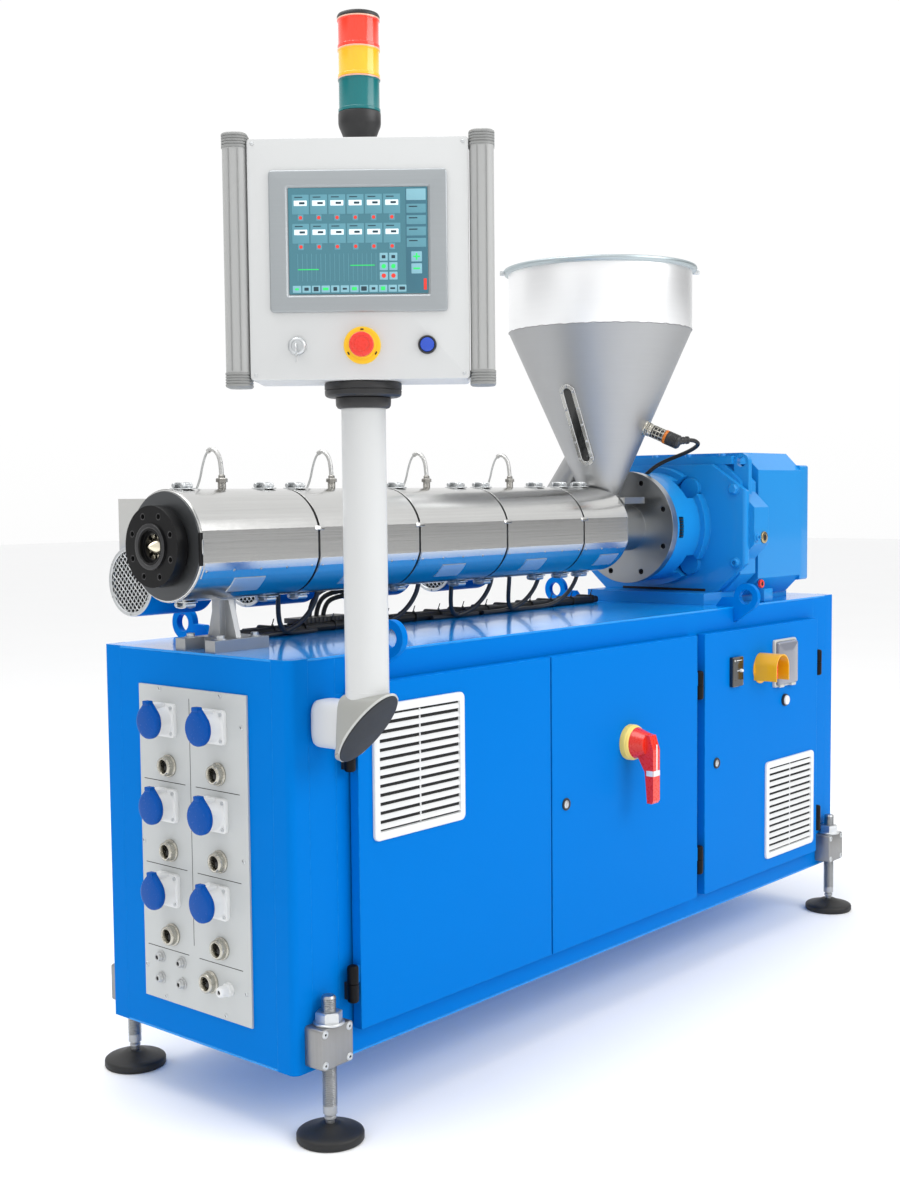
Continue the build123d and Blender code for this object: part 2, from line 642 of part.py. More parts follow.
# each drop leaves a cover and bends along the loom towards the gearbox or towards the die
drops = [(zone_x[1] + 20, 1), (zone_x[1] + 128, -1), (zone_x[2] + 148, -1), (zone_x[2] + 255, 1),
         (zone_x[3] + 115, -1), (zone_x[3] + 178, 1), (zone_x[4] + 10, -1), (zone_end - 12, -1)]
for x, s in drops:
    pts = [(x + s * dx, yc + dy, za + dz) for dx, dy, dz in (
        (0, 40, -88), (1, 42, -108), (5, 47, -128), (14, 56, -150), (30, 68, -170), (54, 80, -183),
        (84, 88, -187.2), (116, 91.5, -187.6), (150, 92, -187.7))]
    t = tube(pts, drop_r) - box(x - 200, x + 200, yc, cab_w, z1 - 20, z1 + fit_gap)
    loom.append(t - xcyl(x - 80, x + 80, yc, za, cover_r + fit_gap))
# terminal strip on the loom
strip_x = zone_x[1] + 140.0
strip_l = 147.0
strip_y = (loom_y - 17.0, loom_y + 31.0)
strip_z = loom_z + loom_r
strip_h = 10.0
loom.append(box(strip_x, strip_x + strip_l, *strip_y, strip_z, strip_z + strip_h))
# three hoses arch from the strip to the inlet of the third blower
hose_r = 5.0
hose_step = 11.0
inlet_x = zone_x[2] + 40.0
for k in range(3):
    x = strip_x + 62 + 20 * k
    z = strip_z + 70 - hose_step * k
    pts = [(x, blow_y - 13, strip_z + 4), (x + 1, blow_y - 13, strip_z + 22 - 3 * k),
           (x + 17 - 2 * k, blow_y - 12, z - 18 + 3 * k), (x + 50 - 9 * k, blow_y - 11, z - 4),
           (x + 100 - 15 * k, blow_y - 10, z), (inlet_x + 8, blow_y - 9, z)]
    loom.append(tube(pts, hose_r) - box(strip_x, x + 50, *strip_y, z1, strip_z + strip_h) - blowers[2])
pieces["cable_loom"] = group(loom)

# Pendant arm: stub from the cabinet corner, elbow, upright tube and the fixed half of the swivel
ez = z1 - elbow_drop
e1 = ez + elbow_up
upright = Pos(arm_x, arm_y, ez) * extrude(Ellipse(elbow_x, elbow_y), elbow_up)
upright = upright + Pos(arm_x, arm_y, ez) * extrude(Ellipse(elbow_x, elbow_y), -elbow_up)
level = extrude(Plane.XZ.offset(stub_l) * (Pos(arm_x, ez) * Ellipse(elbow_x, elbow_up)), arm_out + elbow_y)
inside = prism_x([(arm_y - 2 * elbow_y, ez + 2 * elbow_up), (arm_y + 2 * elbow_y, ez - 2 * elbow_up),
                  (arm_y + 2 * elbow_y, ez + 2 * elbow_up)], arm_x - 2 * elbow_x, arm_x + 2 * elbow_x)
stub = ycyl(-stub_l, 0, arm_x, ez, stub_r)
pieces["arm_elbow"] = ((upright + level) & inside) + stub
tube_top = pend_z - 43.0
pieces["arm_tube"] = zcyl(e1, tube_top, arm_x, arm_y, tube_r)
pieces["swivel_base"] = zcyl(tube_top, tube_top + 18, arm_x, arm_y, 46)

# Pendant, built facing the door side about the tube axis and then turned to the operator
turn = Pos(arm_x, arm_y, pend_z) * Rot(0, 0, pend_yaw)
hw = pend_w / 2
hd = pend_d / 2
pieces["swivel_head"] = turn * zcyl(-25 + run_gap, 0, 0, 0, 64)
grip_w = 42.0
grips = []
for s in (-1, 1):
    g = Pos(s * (hw + grip_w / 2), -hd + 24, 0) * RectangleRounded(grip_w, 60, 14)
    grips.append(turn * Pos(0, 0, -10) * extrude(g, pend_h + 20))
pieces["pendant_grips"] = group(grips)
bez_w = 286.0
bez_h = 225.0
bez_z = pend_h - 165.0
bez_t = 6.0
bez = box(-bez_w / 2, bez_w / 2, -hd - bez_t, -hd, bez_z - bez_h / 2, bez_z + bez_h / 2)
scr_w = 223.0
scr_h = 168.0
bez = bez - box(-scr_w / 2, scr_w / 2, -hd - bez_t - 1, -hd - 3, bez_z - scr_h / 2, bez_z + scr_h / 2)
pieces["screen_bezel"] = turn * bez
pieces["screen"] = turn * box(-scr_w / 2, scr_w / 2, -hd - 5, -hd - 3, bez_z - scr_h / 2, bez_z + scr_h / 2)
stop_z = 55.0
stop_x = 4.0
ring_t = 4.0
stop_r = 9.0
stop_ring = ycyl(-hd - ring_t, -hd, stop_x, stop_z, 30) - ycyl(-hd - 9, -hd + 1, stop_x, stop_z, stop_r + run_gap)
pieces["stop_ring"] = turn * stop_ring
stop_gap = 10.0
cap_y = -hd - ring_t - stop_gap
stop = ycyl(cap_y - 14, cap_y, stop_x, stop_z, 20) + ycyl(cap_y, -hd - 0.5, stop_x, stop_z, stop_r)
pieces["stop_button"] = turn * stop
pend = box(-hw, hw, -hd, hd, 0, pend_h)
pieces["pendant_box"] = turn * (pend - ycyl(-hd - 1, -hd + stop_gap, stop_x, stop_z, stop_r + run_gap))
keys = [ycyl(-hd - 8, -hd, -101, stop_z, 15), ycyl(-hd - 10, -hd, 109, stop_z, 15)]
pieces["pendant_switches"] = group([turn * k for k in keys])
tw = pend_h
lens = [(53.0, 54.0), (108.0, 46.0), (155.0, 47.0)]
tower_base = lathe_z([(0, tw), (22, tw), (30, tw + 22), (35, tw + 30), (35, tw + 52.5), (0, tw + 52.5)], 0, 0)
tower_cap = lathe_z([(0, tw + 202.5), (35, tw + 202.5), (34, tw + 209), (30, tw + 211), (0, tw + 211)], 0, 0)
pieces["tower_black"] = group([turn * tower_base, turn * tower_cap])
names = ("tower_green", "tower_amber", "tower_red")
for name, (b, h) in zip(names, lens):
    pieces[name] = turn * zcyl(tw + b - 0.5, tw + b + h + 0.5, 0, 0, 34)

# The origin is on the floor under the middle of the whole machine
span = group(list(pieces.values())).bounding_box()
shift = Pos(-(span.min.X + span.max.X) / 2, -(span.min.Y + span.max.Y) / 2, -span.min.Z)
os.makedirs("parts", exist_ok=True)
for name, shape in pieces.items():
    solids = shape.solids()
    moved = shift * (solids[0] if len(solids) == 1 else Compound(solids))
    export_step(moved, "parts/" + name + ".step")
print(len(pieces), "pieces, origin moved by", shift.position)
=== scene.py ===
import bpy
import json
import math
import numpy as np
from mathutils import Matrix, Vector

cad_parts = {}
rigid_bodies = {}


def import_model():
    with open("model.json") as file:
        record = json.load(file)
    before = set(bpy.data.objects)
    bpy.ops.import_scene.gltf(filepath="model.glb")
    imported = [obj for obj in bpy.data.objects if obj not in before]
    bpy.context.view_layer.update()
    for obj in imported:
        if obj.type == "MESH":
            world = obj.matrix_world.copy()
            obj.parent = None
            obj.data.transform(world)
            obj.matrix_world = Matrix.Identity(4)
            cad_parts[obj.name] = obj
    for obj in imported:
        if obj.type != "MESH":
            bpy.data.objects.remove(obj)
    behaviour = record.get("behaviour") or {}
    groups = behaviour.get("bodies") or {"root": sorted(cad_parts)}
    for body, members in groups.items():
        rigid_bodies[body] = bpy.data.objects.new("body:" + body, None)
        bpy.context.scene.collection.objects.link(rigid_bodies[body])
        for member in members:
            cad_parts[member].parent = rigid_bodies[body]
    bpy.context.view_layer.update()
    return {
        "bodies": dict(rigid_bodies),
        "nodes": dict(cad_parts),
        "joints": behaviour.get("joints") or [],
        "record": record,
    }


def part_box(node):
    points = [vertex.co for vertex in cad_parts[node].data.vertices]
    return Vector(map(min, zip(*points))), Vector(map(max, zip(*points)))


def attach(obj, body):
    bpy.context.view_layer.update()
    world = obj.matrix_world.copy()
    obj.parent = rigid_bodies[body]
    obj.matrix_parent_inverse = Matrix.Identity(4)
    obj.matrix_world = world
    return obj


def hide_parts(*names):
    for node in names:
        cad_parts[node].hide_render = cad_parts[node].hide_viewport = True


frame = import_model()
cad = frame["nodes"]
print("frame loaded,", len(cad), "solids")

# every size below is in mm from the cabinet's corner on the floor: die end, door side
corner = np.array([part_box("cabinet_front_end")[0].x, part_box("door_rails")[0].y, 0.0])


def toMetres(points):
    return np.asarray(points, float) / 1000.0 + corner


def addNode(tree, kind, inputs=None, **values):
    # a node with its settings; each input is a plain value or the socket that feeds it
    node = tree.nodes.new(kind)
    for key, value in values.items():
        setattr(node, key, value)
    for key, value in (inputs or {}).items():
        if isinstance(value, bpy.types.NodeSocket):
            tree.links.new(value, node.inputs[key])
        else:
            node.inputs[key].default_value = value
    return node


def sumNode(tree, operation, inputs, clamp=False):
    return addNode(tree, "ShaderNodeMath", inputs, operation=operation, use_clamp=clamp).outputs[0]


# Camera at the photo's place: position, turn and tilt come from the fit to the cabinet's edges
view = {"place": (-1739.5, -1868.0, 1128.4), "yaw": 40.845, "pitch": 4.033, "roll": 0.557, "lens": 45.118,
    "sensor": 36.0, "far": 60.0}


def makeCamera(v):
    yaw, pitch, roll = (math.radians(v[k]) for k in ("yaw", "pitch", "roll"))
    ahead = np.array([math.cos(yaw) * math.cos(pitch), math.sin(yaw) * math.cos(pitch), -math.sin(pitch)])
    right = np.array([math.sin(yaw), -math.cos(yaw), 0.0])
    down = np.cross(ahead, right)
    right, down = (math.cos(roll) * right + math.sin(roll) * down,
        math.cos(roll) * down - math.sin(roll) * right)
    data = bpy.data.cameras.new("photoCamera")
    data.lens = v["lens"]
    data.sensor_width = v["sensor"]
    data.clip_end = v["far"]
    eye = bpy.data.objects.new("photoCamera", data)
    bpy.context.scene.collection.objects.link(eye)
    turn = np.eye(4)
    turn[:3, :3] = np.stack([right, -down, -ahead], -1)
    turn[:3, 3] = toMetres(v["place"])
    eye.matrix_world = Matrix(turn.tolist())
    bpy.context.scene.camera = eye


makeCamera(view)
print("camera set")

# Studio: bright dome, two dim screens low on it beyond the door side and behind the die end,
# one large soft lamp on the door side and one from above
studio = {"dome": 1.02, "low": 0.96, "horizon": (0.47, 0.56), "screenTop": (0.12, 0.40),
    "screens": (((0.74, -0.67, 0.0), 0.45, 0.92, 0.12), ((-0.74, 0.67, 0.0), 0.84, 0.97, 0.35)),
    "lamps": (("doorSideLamp", (1.0, -4.2, 3.2), (0.0, 0.0, 0.7), 3.2, 105.0),
    ("overheadLamp", (-1.0, 0.5, 4.4), (0.0, 0.0, 0.8), 3.0, 110.0)), "floor": (0.92, 0.922, 0.925),
    "floorSide": 30.0}


def makeStudio(s):
    world = bpy.data.worlds.new("studioDome")
    world.use_nodes = True
    bpy.context.scene.world = world
    tree = world.node_tree
    where = addNode(tree, "ShaderNodeTexCoord").outputs["Generated"]
    height = addNode(tree, "ShaderNodeSeparateXYZ", {0: where}).outputs["Z"]
    half = sumNode(tree, "MULTIPLY_ADD", {0: height, 1: 0.5, 2: 0.5})
    ramp = addNode(tree, "ShaderNodeValToRGB", {0: half})
    for stop, place, level in zip(ramp.color_ramp.elements, s["horizon"], (s["low"], 1.0)):
        stop.position = place
        stop.color = (level, level, level, 1)
    colour = ramp.outputs[0]
    full, none = s["screenTop"]
    under = addNode(tree, "ShaderNodeMapRange", {"Value": height, "From Max": full, "From Min": none},
        interpolation_type="SMOOTHSTEP").outputs[0]
    for way, edge, full, dim in s["screens"]:
        toScreen = addNode(tree, "ShaderNodeVectorMath", {0: where, 1: way}, operation="DOT_PRODUCT")
        cover = addNode(tree, "ShaderNodeMapRange", {"Value": toScreen.outputs["Value"], "From Min": edge,
            "From Max": full}, interpolation_type="SMOOTHSTEP")
        both = sumNode(tree, "MULTIPLY", {0: cover.outputs[0], 1: under})
        left = sumNode(tree, "MULTIPLY_ADD", {0: both, 1: dim - 1.0, 2: 1.0})
        colour = addNode(tree, "ShaderNodeVectorMath", {0: colour, "Scale": left},
            operation="SCALE").outputs[0]
    back = tree.nodes["Background"]
    back.inputs["Strength"].default_value = s["dome"]
    tree.links.new(colour, back.inputs["Color"])
    for name, place, aim, size, power in s["lamps"]:
        data = bpy.data.lights.new(name, "AREA")
        data.energy = power
        data.size = size
        lamp = bpy.data.objects.new(name, data)
        bpy.context.scene.collection.objects.link(lamp)
        lamp.location = place
        lamp.rotation_mode = "QUATERNION"
        lamp.rotation_quaternion = (Vector(aim) - Vector(place)).to_track_quat("-Z", "Y")


makeStudio(studio)
bpy.context.scene.view_settings.view_transform = "Standard"


# Shader groups: slow colour drift, brushed streaks, fine bump and lighter edges for wear and painted
# highlights
def newGroup(name, inputs, outputs):
    kinds = {float: "NodeSocketFloat", tuple: "NodeSocketColor", list: "NodeSocketVector"}
    group = bpy.data.node_groups.new(name, "ShaderNodeTree")
    for label, value in inputs.items():
        group.interface.new_socket(label, in_out="INPUT",
            socket_type=kinds[type(value)]).default_value = value
    for label, kind in outputs.items():
        group.interface.new_socket(label, in_out="OUTPUT", socket_type=kinds[kind])
    return group, group.nodes.new("NodeGroupInput").outputs, group.nodes.new("NodeGroupOutput").inputs


def noiseNode(tree, scale, detail):
    where = addNode(tree, "ShaderNodeTexCoord").outputs["Object"]
    return addNode(tree, "ShaderNodeTexNoise", {"Vector": where, "Scale": scale,
        "Detail": detail}).outputs["Fac"]


def varied(tree, colour, noise, amount):
    # colour times one plus an amount of noise about its middle
    mid = sumNode(tree, "SUBTRACT", {0: noise, 1: 0.5})
    gain = sumNode(tree, "MULTIPLY_ADD", {0: mid, 1: amount, 2: 1.0})
    return addNode(tree, "ShaderNodeVectorMath", {0: colour, "Scale": gain}, operation="SCALE").outputs[0]


def makeDrift():
    # colour times one plus slow noise, roughness plus a finer smear
    group, start, end = newGroup("colourDrift", {"Colour": (0.5, 0.5, 0.5, 1), "Amount": 0.06, "Scale": 9.0,
        "Roughness": 0.4, "Spread": 0.1}, {"Colour": tuple, "Roughness": float})
    slow = noiseNode(group, start["Scale"], 5.0)
    smear = noiseNode(group, sumNode(group, "MULTIPLY", {0: start["Scale"], 1: 6.0}), 7.0)
    group.links.new(varied(group, start["Colour"], slow, start["Amount"]), end["Colour"])
    low = sumNode(group, "SUBTRACT", {0: smear, 1: 0.5})
    rough = sumNode(group, "MULTIPLY_ADD", {0: low, 1: start["Spread"], 2: start["Roughness"]}, True)
    group.links.new(rough, end["Roughness"])
    return group


def makeStreaks():
    # noise on coordinates stretched by a vector, so that it runs in lines like a brushed sheet
    group, start, end = newGroup("brushedStreaks", {"Stretch": [4.0, 4.0, 900.0],
        "Colour": (0.6, 0.6, 0.6, 1), "Amount": 0.15}, {"Colour": tuple, "Height": float})
    where = addNode(group, "ShaderNodeTexCoord").outputs["Object"]
    pull = addNode(group, "ShaderNodeVectorMath", {0: where, 1: start["Stretch"]}, operation="MULTIPLY")
    lines = addNode(group, "ShaderNodeTexNoise", {"Vector": pull.outputs[0], "Scale": 1.0, "Detail": 4.0})
    group.links.new(varied(group, start["Colour"], lines.outputs["Fac"], start["Amount"]), end["Colour"])
    group.links.new(lines.outputs["Fac"], end["Height"])
    return group


def makeSkinBump():
    # fine even noise for paint peel, moulded grain and cast skin
    group, start, end = newGroup("fineSkin", {"Scale": 700.0, "Detail": 2.0}, {"Height": float})
    group.links.new(noiseNode(group, start["Scale"], start["Detail"]), end["Height"])
    return group


def makeEdgeWearAndHighlight():
    # where a rounded normal leaves the true one there is an edge, broken up by noise; there a lighter
    # colour is mixed in, for wear and as a painted highlight
    group, start, end = newGroup("wornAndHighlitEdges", {"Colour": (0.5, 0.5, 0.5, 1), "WearAndHighlight": (0.7, 0.7, 0.7, 1),
        "Radius": 0.0015, "Amount": 0.5}, {"Colour": tuple})
    soft = addNode(group, "ShaderNodeBevel", {"Radius": start["Radius"]}, samples=4)
    true = addNode(group, "ShaderNodeNewGeometry").outputs["Normal"]
    dot = addNode(group, "ShaderNodeVectorMath", {0: soft.outputs[0], 1: true}, operation="DOT_PRODUCT")
    off = addNode(group, "ShaderNodeMapRange", {"Value": dot.outputs["Value"], "From Min": 0.99,
        "From Max": 0.80})
    broken = addNode(group, "ShaderNodeMapRange", {"Value": noiseNode(group, 60.0, 6.0), "From Min": 0.38,
        "From Max": 0.62})
    mask = sumNode(group, "MULTIPLY", {0: off.outputs[0], 1: broken.outputs[0]})
    mask = sumNode(group, "MULTIPLY", {0: mask, 1: start["Amount"]}, True)
    mix = addNode(group, "ShaderNodeMix", {"Factor": mask, 6: start["Colour"], 7: start["WearAndHighlight"]},
        data_type="RGBA")
    group.links.new(mix.outputs[2], end["Colour"])
    return group


groups = {"drift": makeDrift(), "streaks": makeStreaks(), "skin": makeSkinBump(), "edges": makeEdgeWearAndHighlight()}
print("shader groups built")


def makeFinish(name, colour, rough, metal=0, coat=0, drift=0.08, driftScale=6, spread=0.1, skin=700,
        bump=0.05, stretch=None, streak=0.15, round=0.0012, edgeWearAndHighlight=None, edgeWearAndHighlightAmount=0.5, glow=None,
        specular=0.5):
    mat = bpy.data.materials.new(name)
    mat.use_nodes = True
    tree = mat.node_tree
    shader = tree.nodes["Principled BSDF"].inputs
    for key, value in (("Metallic", metal), ("Coat Weight", coat), ("Coat Roughness", 0.06), ("IOR", 1.5),
            ("Specular IOR Level", specular)):
        shader[key].default_value = value
    body = addNode(tree, "ShaderNodeGroup", {"Colour": (*colour, 1), "Amount": drift, "Scale": driftScale,
        "Roughness": rough, "Spread": spread}, node_tree=groups["drift"])
    tree.links.new(body.outputs["Roughness"], shader["Roughness"])
    out = body.outputs["Colour"]
    if stretch:
        lines = addNode(tree, "ShaderNodeGroup", {"Stretch": stretch, "Amount": streak, "Colour": out},
            node_tree=groups["streaks"])
        out, height = lines.outputs["Colour"], lines.outputs["Height"]
    else:
        fine = addNode(tree, "ShaderNodeGroup", {"Scale": skin}, node_tree=groups["skin"])
        height = fine.outputs["Height"]
    # edges take a lighter colour: wear, and a painted highlight along them
    if edgeWearAndHighlight:
        edge = addNode(tree, "ShaderNodeGroup", {"Colour": out, "WearAndHighlight": (*edgeWearAndHighlight, 1), "Radius": round * 1.5,
            "Amount": edgeWearAndHighlightAmount}, node_tree=groups["edges"])
        out = edge.outputs["Colour"]
    tree.links.new(out, shader["Base Color"])
    lift = addNode(tree, "ShaderNodeBump", {"Strength": bump, "Distance": 0.001, "Height": height})
    if round:
        soft = addNode(tree, "ShaderNodeBevel", {"Radius": round}, samples=4)
        tree.links.new(soft.outputs[0], lift.inputs["Normal"])
    tree.links.new(lift.outputs[0], shader["Normal"])
    if glow:
        tree.links.new(out, shader["Emission Color"])
        shader["Emission Strength"].default_value = glow
    return mat


# Finishes: the slot, then the look; what a look leaves out is as usual in makeFinish
looks = {
    # the blue paints' lighter edges are mostly painted highlights along the sheet edges
    "bluePaint": ("blue_paint", dict(colour=(0, 0.167, 0.585), rough=0.34, drift=0.05, driftScale=2.5,
        skin=260, bump=0.02, round=0.0025, edgeWearAndHighlight=(0.02, 0.32, 0.82), specular=0.02)),
    # gearbox: a lighter, glossier copy of the blue paint; the lighter colour is painted light
    "gearBlue": ("blue_paint", dict(colour=(0.008, 0.235, 0.61), rough=0.36, coat=0.25, drift=0.05,
        driftScale=2.5, skin=260, bump=0.02, round=0.0025, edgeWearAndHighlight=(0.03, 0.36, 0.86), specular=0.2)),
    # top plates: a lighter, glossier copy of the blue paint; the lighter colour is painted light from above
    "topBluePaintedLight": ("blue_paint", dict(colour=(0, 0.26, 0.75), rough=0.22, coat=0.4, drift=0.05, driftScale=2.5,
        skin=260, bump=0.012, round=0.0025, edgeWearAndHighlight=(0.03, 0.36, 0.86), specular=0.2)),
    "stainless": ("stainless", dict(colour=(0.6, 0.6, 0.59), rough=0.2, metal=1, drift=0.06, driftScale=14,
        spread=0.12, bump=0.03, stretch=(3, 260, 260), streak=0.16)),
    "hopperSteel": ("stainless", dict(colour=(0.4, 0.405, 0.41), rough=0.48, metal=1, drift=0.05,
        driftScale=5, spread=0.06, bump=0.02, stretch=(10, 10, 320), streak=0.05)),
    "drumSteel": ("stainless", dict(colour=(0.92, 0.925, 0.93), rough=0.4, metal=0.9, drift=0.03,
        driftScale=5, spread=0.03, bump=0.006, stretch=(10, 10, 320), streak=0.04)),
    "flangeSteel": ("steel", dict(colour=(0.41, 0.42, 0.425), rough=0.3, metal=1, drift=0.06, driftScale=12,
        skin=500, bump=0.002)),
    "supportSteel": ("zinc", dict(colour=(0.4, 0.41, 0.42), rough=0.4, metal=1, drift=0.14, driftScale=30,
        skin=420, bump=0.06, edgeWearAndHighlight=(0.62, 0.62, 0.62))),
    "studSteel": ("zinc", dict(colour=(0.4, 0.41, 0.42), rough=0.34, metal=1, drift=0.2, driftScale=40,
        skin=500, edgeWearAndHighlight=(0.6, 0.6, 0.6))),
    "thermoSteel": ("steel", dict(colour=(0.3, 0.29, 0.27), rough=0.28, metal=1, drift=0.2, driftScale=60,
        edgeWearAndHighlight=(0.7, 0.69, 0.66))),
    "screwSteel": ("steel", dict(colour=(0.8, 0.74, 0.58), rough=0.22, metal=1, drift=0.1, driftScale=30,
        skin=900, bump=0.02)),
    "machinedSteel": ("steel", dict(colour=(0.42, 0.43, 0.44), rough=0.28, metal=1, drift=0.06,
        driftScale=18, skin=900, bump=0.02, edgeWearAndHighlight=(0.75, 0.75, 0.75))),
    "endSteel": ("steel", dict(colour=(0.1, 0.105, 0.11), rough=0.34, metal=0.7, driftScale=14, bump=0.03,
        edgeWearAndHighlight=(0.5, 0.5, 0.5))),
    "zincPlate": ("zinc", dict(colour=(0.62, 0.64, 0.65), rough=0.38, metal=1, drift=0.16, driftScale=40,
        skin=420, bump=0.06, edgeWearAndHighlight=(0.8, 0.8, 0.8))),
    "blackSteel": ("black_steel", dict(colour=(0.0035, 0.0035, 0.004), rough=0.34, drift=0.4, driftScale=30,
        skin=800, bump=0.04, edgeWearAndHighlight=(0.04, 0.04, 0.04), specular=0.22)),
    "blackPlastic": ("black_plastic", dict(colour=(0.016, 0.016, 0.017), rough=0.42, drift=0.25,
        driftScale=25, skin=1500, bump=0.1, edgeWearAndHighlight=(0.06, 0.06, 0.06))),
    "blackRubber": ("black_rubber", dict(colour=(0.008, 0.008, 0.008), rough=0.55, drift=0.3, driftScale=30,
        skin=900, bump=0.12, edgeWearAndHighlight=(0.05, 0.05, 0.05))),
    "greyPaint": ("grey_paint", dict(colour=(0.61, 0.62, 0.62), rough=0.36, drift=0.03, driftScale=4,
        skin=900, bump=0.06, round=0.002, edgeWearAndHighlight=(0.85, 0.86, 0.86))),
    "boxGrey": ("grey_paint", dict(colour=(0.47, 0.47, 0.455), rough=0.42, drift=0.04, driftScale=8,
        skin=900, round=0.003, edgeWearAndHighlight=(0.62, 0.62, 0.6))),
    "cableGrey": ("black_rubber", dict(colour=(0.03, 0.031, 0.034), rough=0.48, drift=0.2, driftScale=30,
        skin=900, bump=0.06, edgeWearAndHighlight=(0.06, 0.06, 0.06))),
    "plateGrey": ("grey_paint", dict(colour=(0.5, 0.52, 0.52), rough=0.4, drift=0.05, driftScale=5,
        skin=800, bump=0.06, edgeWearAndHighlight=(0.75, 0.75, 0.75))),
    "elbowGrey": ("grey_paint", dict(colour=(0.32, 0.325, 0.305), rough=0.42, drift=0.06, driftScale=12,
        skin=800, bump=0.08, edgeWearAndHighlight=(0.55, 0.55, 0.54))),
    "whitePlastic": ("white_plastic", dict(colour=(0.74, 0.75, 0.75), rough=0.38, drift=0.03, driftScale=8,
        skin=1200, edgeWearAndHighlight=(0.9, 0.9, 0.9))),
    "bluePlastic": ("blue_plastic", dict(colour=(0.006, 0.09, 0.42), rough=0.24, coat=0.4, driftScale=30,
        skin=900, bump=0.03, edgeWearAndHighlight=(0.05, 0.22, 0.6))),
    "yellowPlastic": ("yellow_plastic", dict(colour=(0.85, 0.42, 0.005), rough=0.32, coat=0.2, drift=0.06,
        driftScale=30, skin=900, edgeWearAndHighlight=(0.95, 0.6, 0.1))),
    "redPlastic": ("red_plastic", dict(colour=(0.78, 0.025, 0.01), rough=0.28, coat=0.3, drift=0.06,
        driftScale=30, skin=900, bump=0.04, edgeWearAndHighlight=(0.9, 0.15, 0.1))),
    # the tower lenses glow: painted light shining through the plastic
    "amberLens": ("amber_plastic", dict(colour=(0.95, 0.42, 0.01), rough=0.16, coat=0.5, drift=0.1,
        driftScale=60, skin=300, bump=0.02, glow=0.25)),
    "greenLens": ("green_plastic", dict(colour=(0, 0.15, 0.16), rough=0.2, coat=0.05, drift=0.1,
        driftScale=60, skin=300, bump=0.02, glow=0.06)),
    "redLens": ("red_plastic", dict(colour=(0.85, 0.035, 0.012), rough=0.16, coat=0.5, drift=0.1,
        driftScale=60, skin=300, bump=0.02, glow=0.25)),
    "screenGlass": ("screen", dict(colour=(0.04, 0.15, 0.19), rough=0.12, coat=0.25, drift=0.1,
        driftScale=8, skin=400, bump=0, glow=0.36)),
    "greyMetal": ("grey_metal", dict(colour=(0.5, 0.51, 0.51), rough=0.36, metal=0.6, driftScale=20,
        bump=0.03, stretch=(160, 160, 6), streak=0.08, edgeWearAndHighlight=(0.7, 0.7, 0.7))),
    "gripGrey": ("grey_paint", dict(colour=(0.4, 0.405, 0.4), rough=0.45, drift=0.04, driftScale=9,
        skin=900, bump=0.06, stretch=(300, 300, 5), streak=0.05, edgeWearAndHighlight=(0.6, 0.6, 0.6))),
    "gripCap": ("grey_metal", dict(colour=(0.27, 0.275, 0.27), rough=0.5, drift=0.06, driftScale=20,
        skin=900, bump=0.08, edgeWearAndHighlight=(0.4, 0.4, 0.4))),
    "bezelGrey": ("grey_metal", dict(colour=(0.36, 0.385, 0.4), rough=0.34, metal=0.5, drift=0.05,
        driftScale=8, bump=0.02, stretch=(6, 6, 420), streak=0.08, edgeWearAndHighlight=(0.75, 0.77, 0.78))),
    "screenTile": ("screen", dict(colour=(0.075, 0.21, 0.26), rough=0.15, drift=0.05, driftScale=30, bump=0,
        round=0.0, glow=0.55)),
    "screenBox": ("screen", dict(colour=(0.55, 0.66, 0.7), rough=0.15, drift=0.05, driftScale=30, bump=0,
        round=0.0, glow=0.6)),
    "screenRed": ("screen", dict(colour=(0.55, 0.03, 0.02), rough=0.15, drift=0.05, driftScale=60, bump=0,
        round=0.0, glow=0.6)),
    "screenGreen": ("screen", dict(colour=(0.02, 0.5, 0.1), rough=0.15, drift=0.05, driftScale=60, bump=0,
        round=0.0, glow=0.7)),
    "screenDark": ("screen", dict(colour=(0.012, 0.035, 0.05), rough=0.15, drift=0.05, driftScale=60,
        bump=0, round=0.0, glow=0.3)),
    "screenKey": ("screen", dict(colour=(0.16, 0.33, 0.39), rough=0.15, drift=0.05, driftScale=30, bump=0,
        round=0.0, glow=0.55)),
    "screenSide": ("screen", dict(colour=(0.03, 0.11, 0.15), rough=0.15, drift=0.05, driftScale=30, bump=0,
        round=0.0, glow=0.5)),
    "signalYellow": ("yellow_plastic", dict(colour=(0.9, 0.55, 0.005), rough=0.36, drift=0.05,
        driftScale=30, skin=900, edgeWearAndHighlight=(0.95, 0.7, 0.1))),
    # the blue button glows: painted light in its cap
    "buttonBlue": ("blue_plastic", dict(colour=(0.01, 0.06, 0.45), rough=0.2, coat=0.4, drift=0.1,
        driftScale=50, skin=500, bump=0.02, glow=0.15)),
    # the clear joints glow a little: painted light through them
    "lensJoint": ("amber_plastic", dict(colour=(0.75, 0.42, 0.3), rough=0.12, coat=0.5, drift=0.1,
        driftScale=50, skin=400, bump=0.02, glow=0.1)),
    "rimGrey": ("grey_paint", dict(colour=(0.52, 0.53, 0.51), rough=0.4, drift=0.05, driftScale=15,
        skin=800, bump=0.06, edgeWearAndHighlight=(0.7, 0.7, 0.69))),
    "coverGrey": ("grey_paint", dict(colour=(0.026, 0.028, 0.03), rough=0.5, driftScale=12, skin=1100,
        bump=0.08, edgeWearAndHighlight=(0.1, 0.1, 0.1), specular=0.25)),
    "brass": ("steel", dict(colour=(0.52, 0.4, 0.22), rough=0.28, metal=1, drift=0.2, driftScale=40,
        edgeWearAndHighlight=(0.8, 0.7, 0.5))),
    "nickel": ("steel", dict(colour=(0.5, 0.48, 0.42), rough=0.26, metal=1, drift=0.2, driftScale=60,
        edgeWearAndHighlight=(0.85, 0.83, 0.78))),
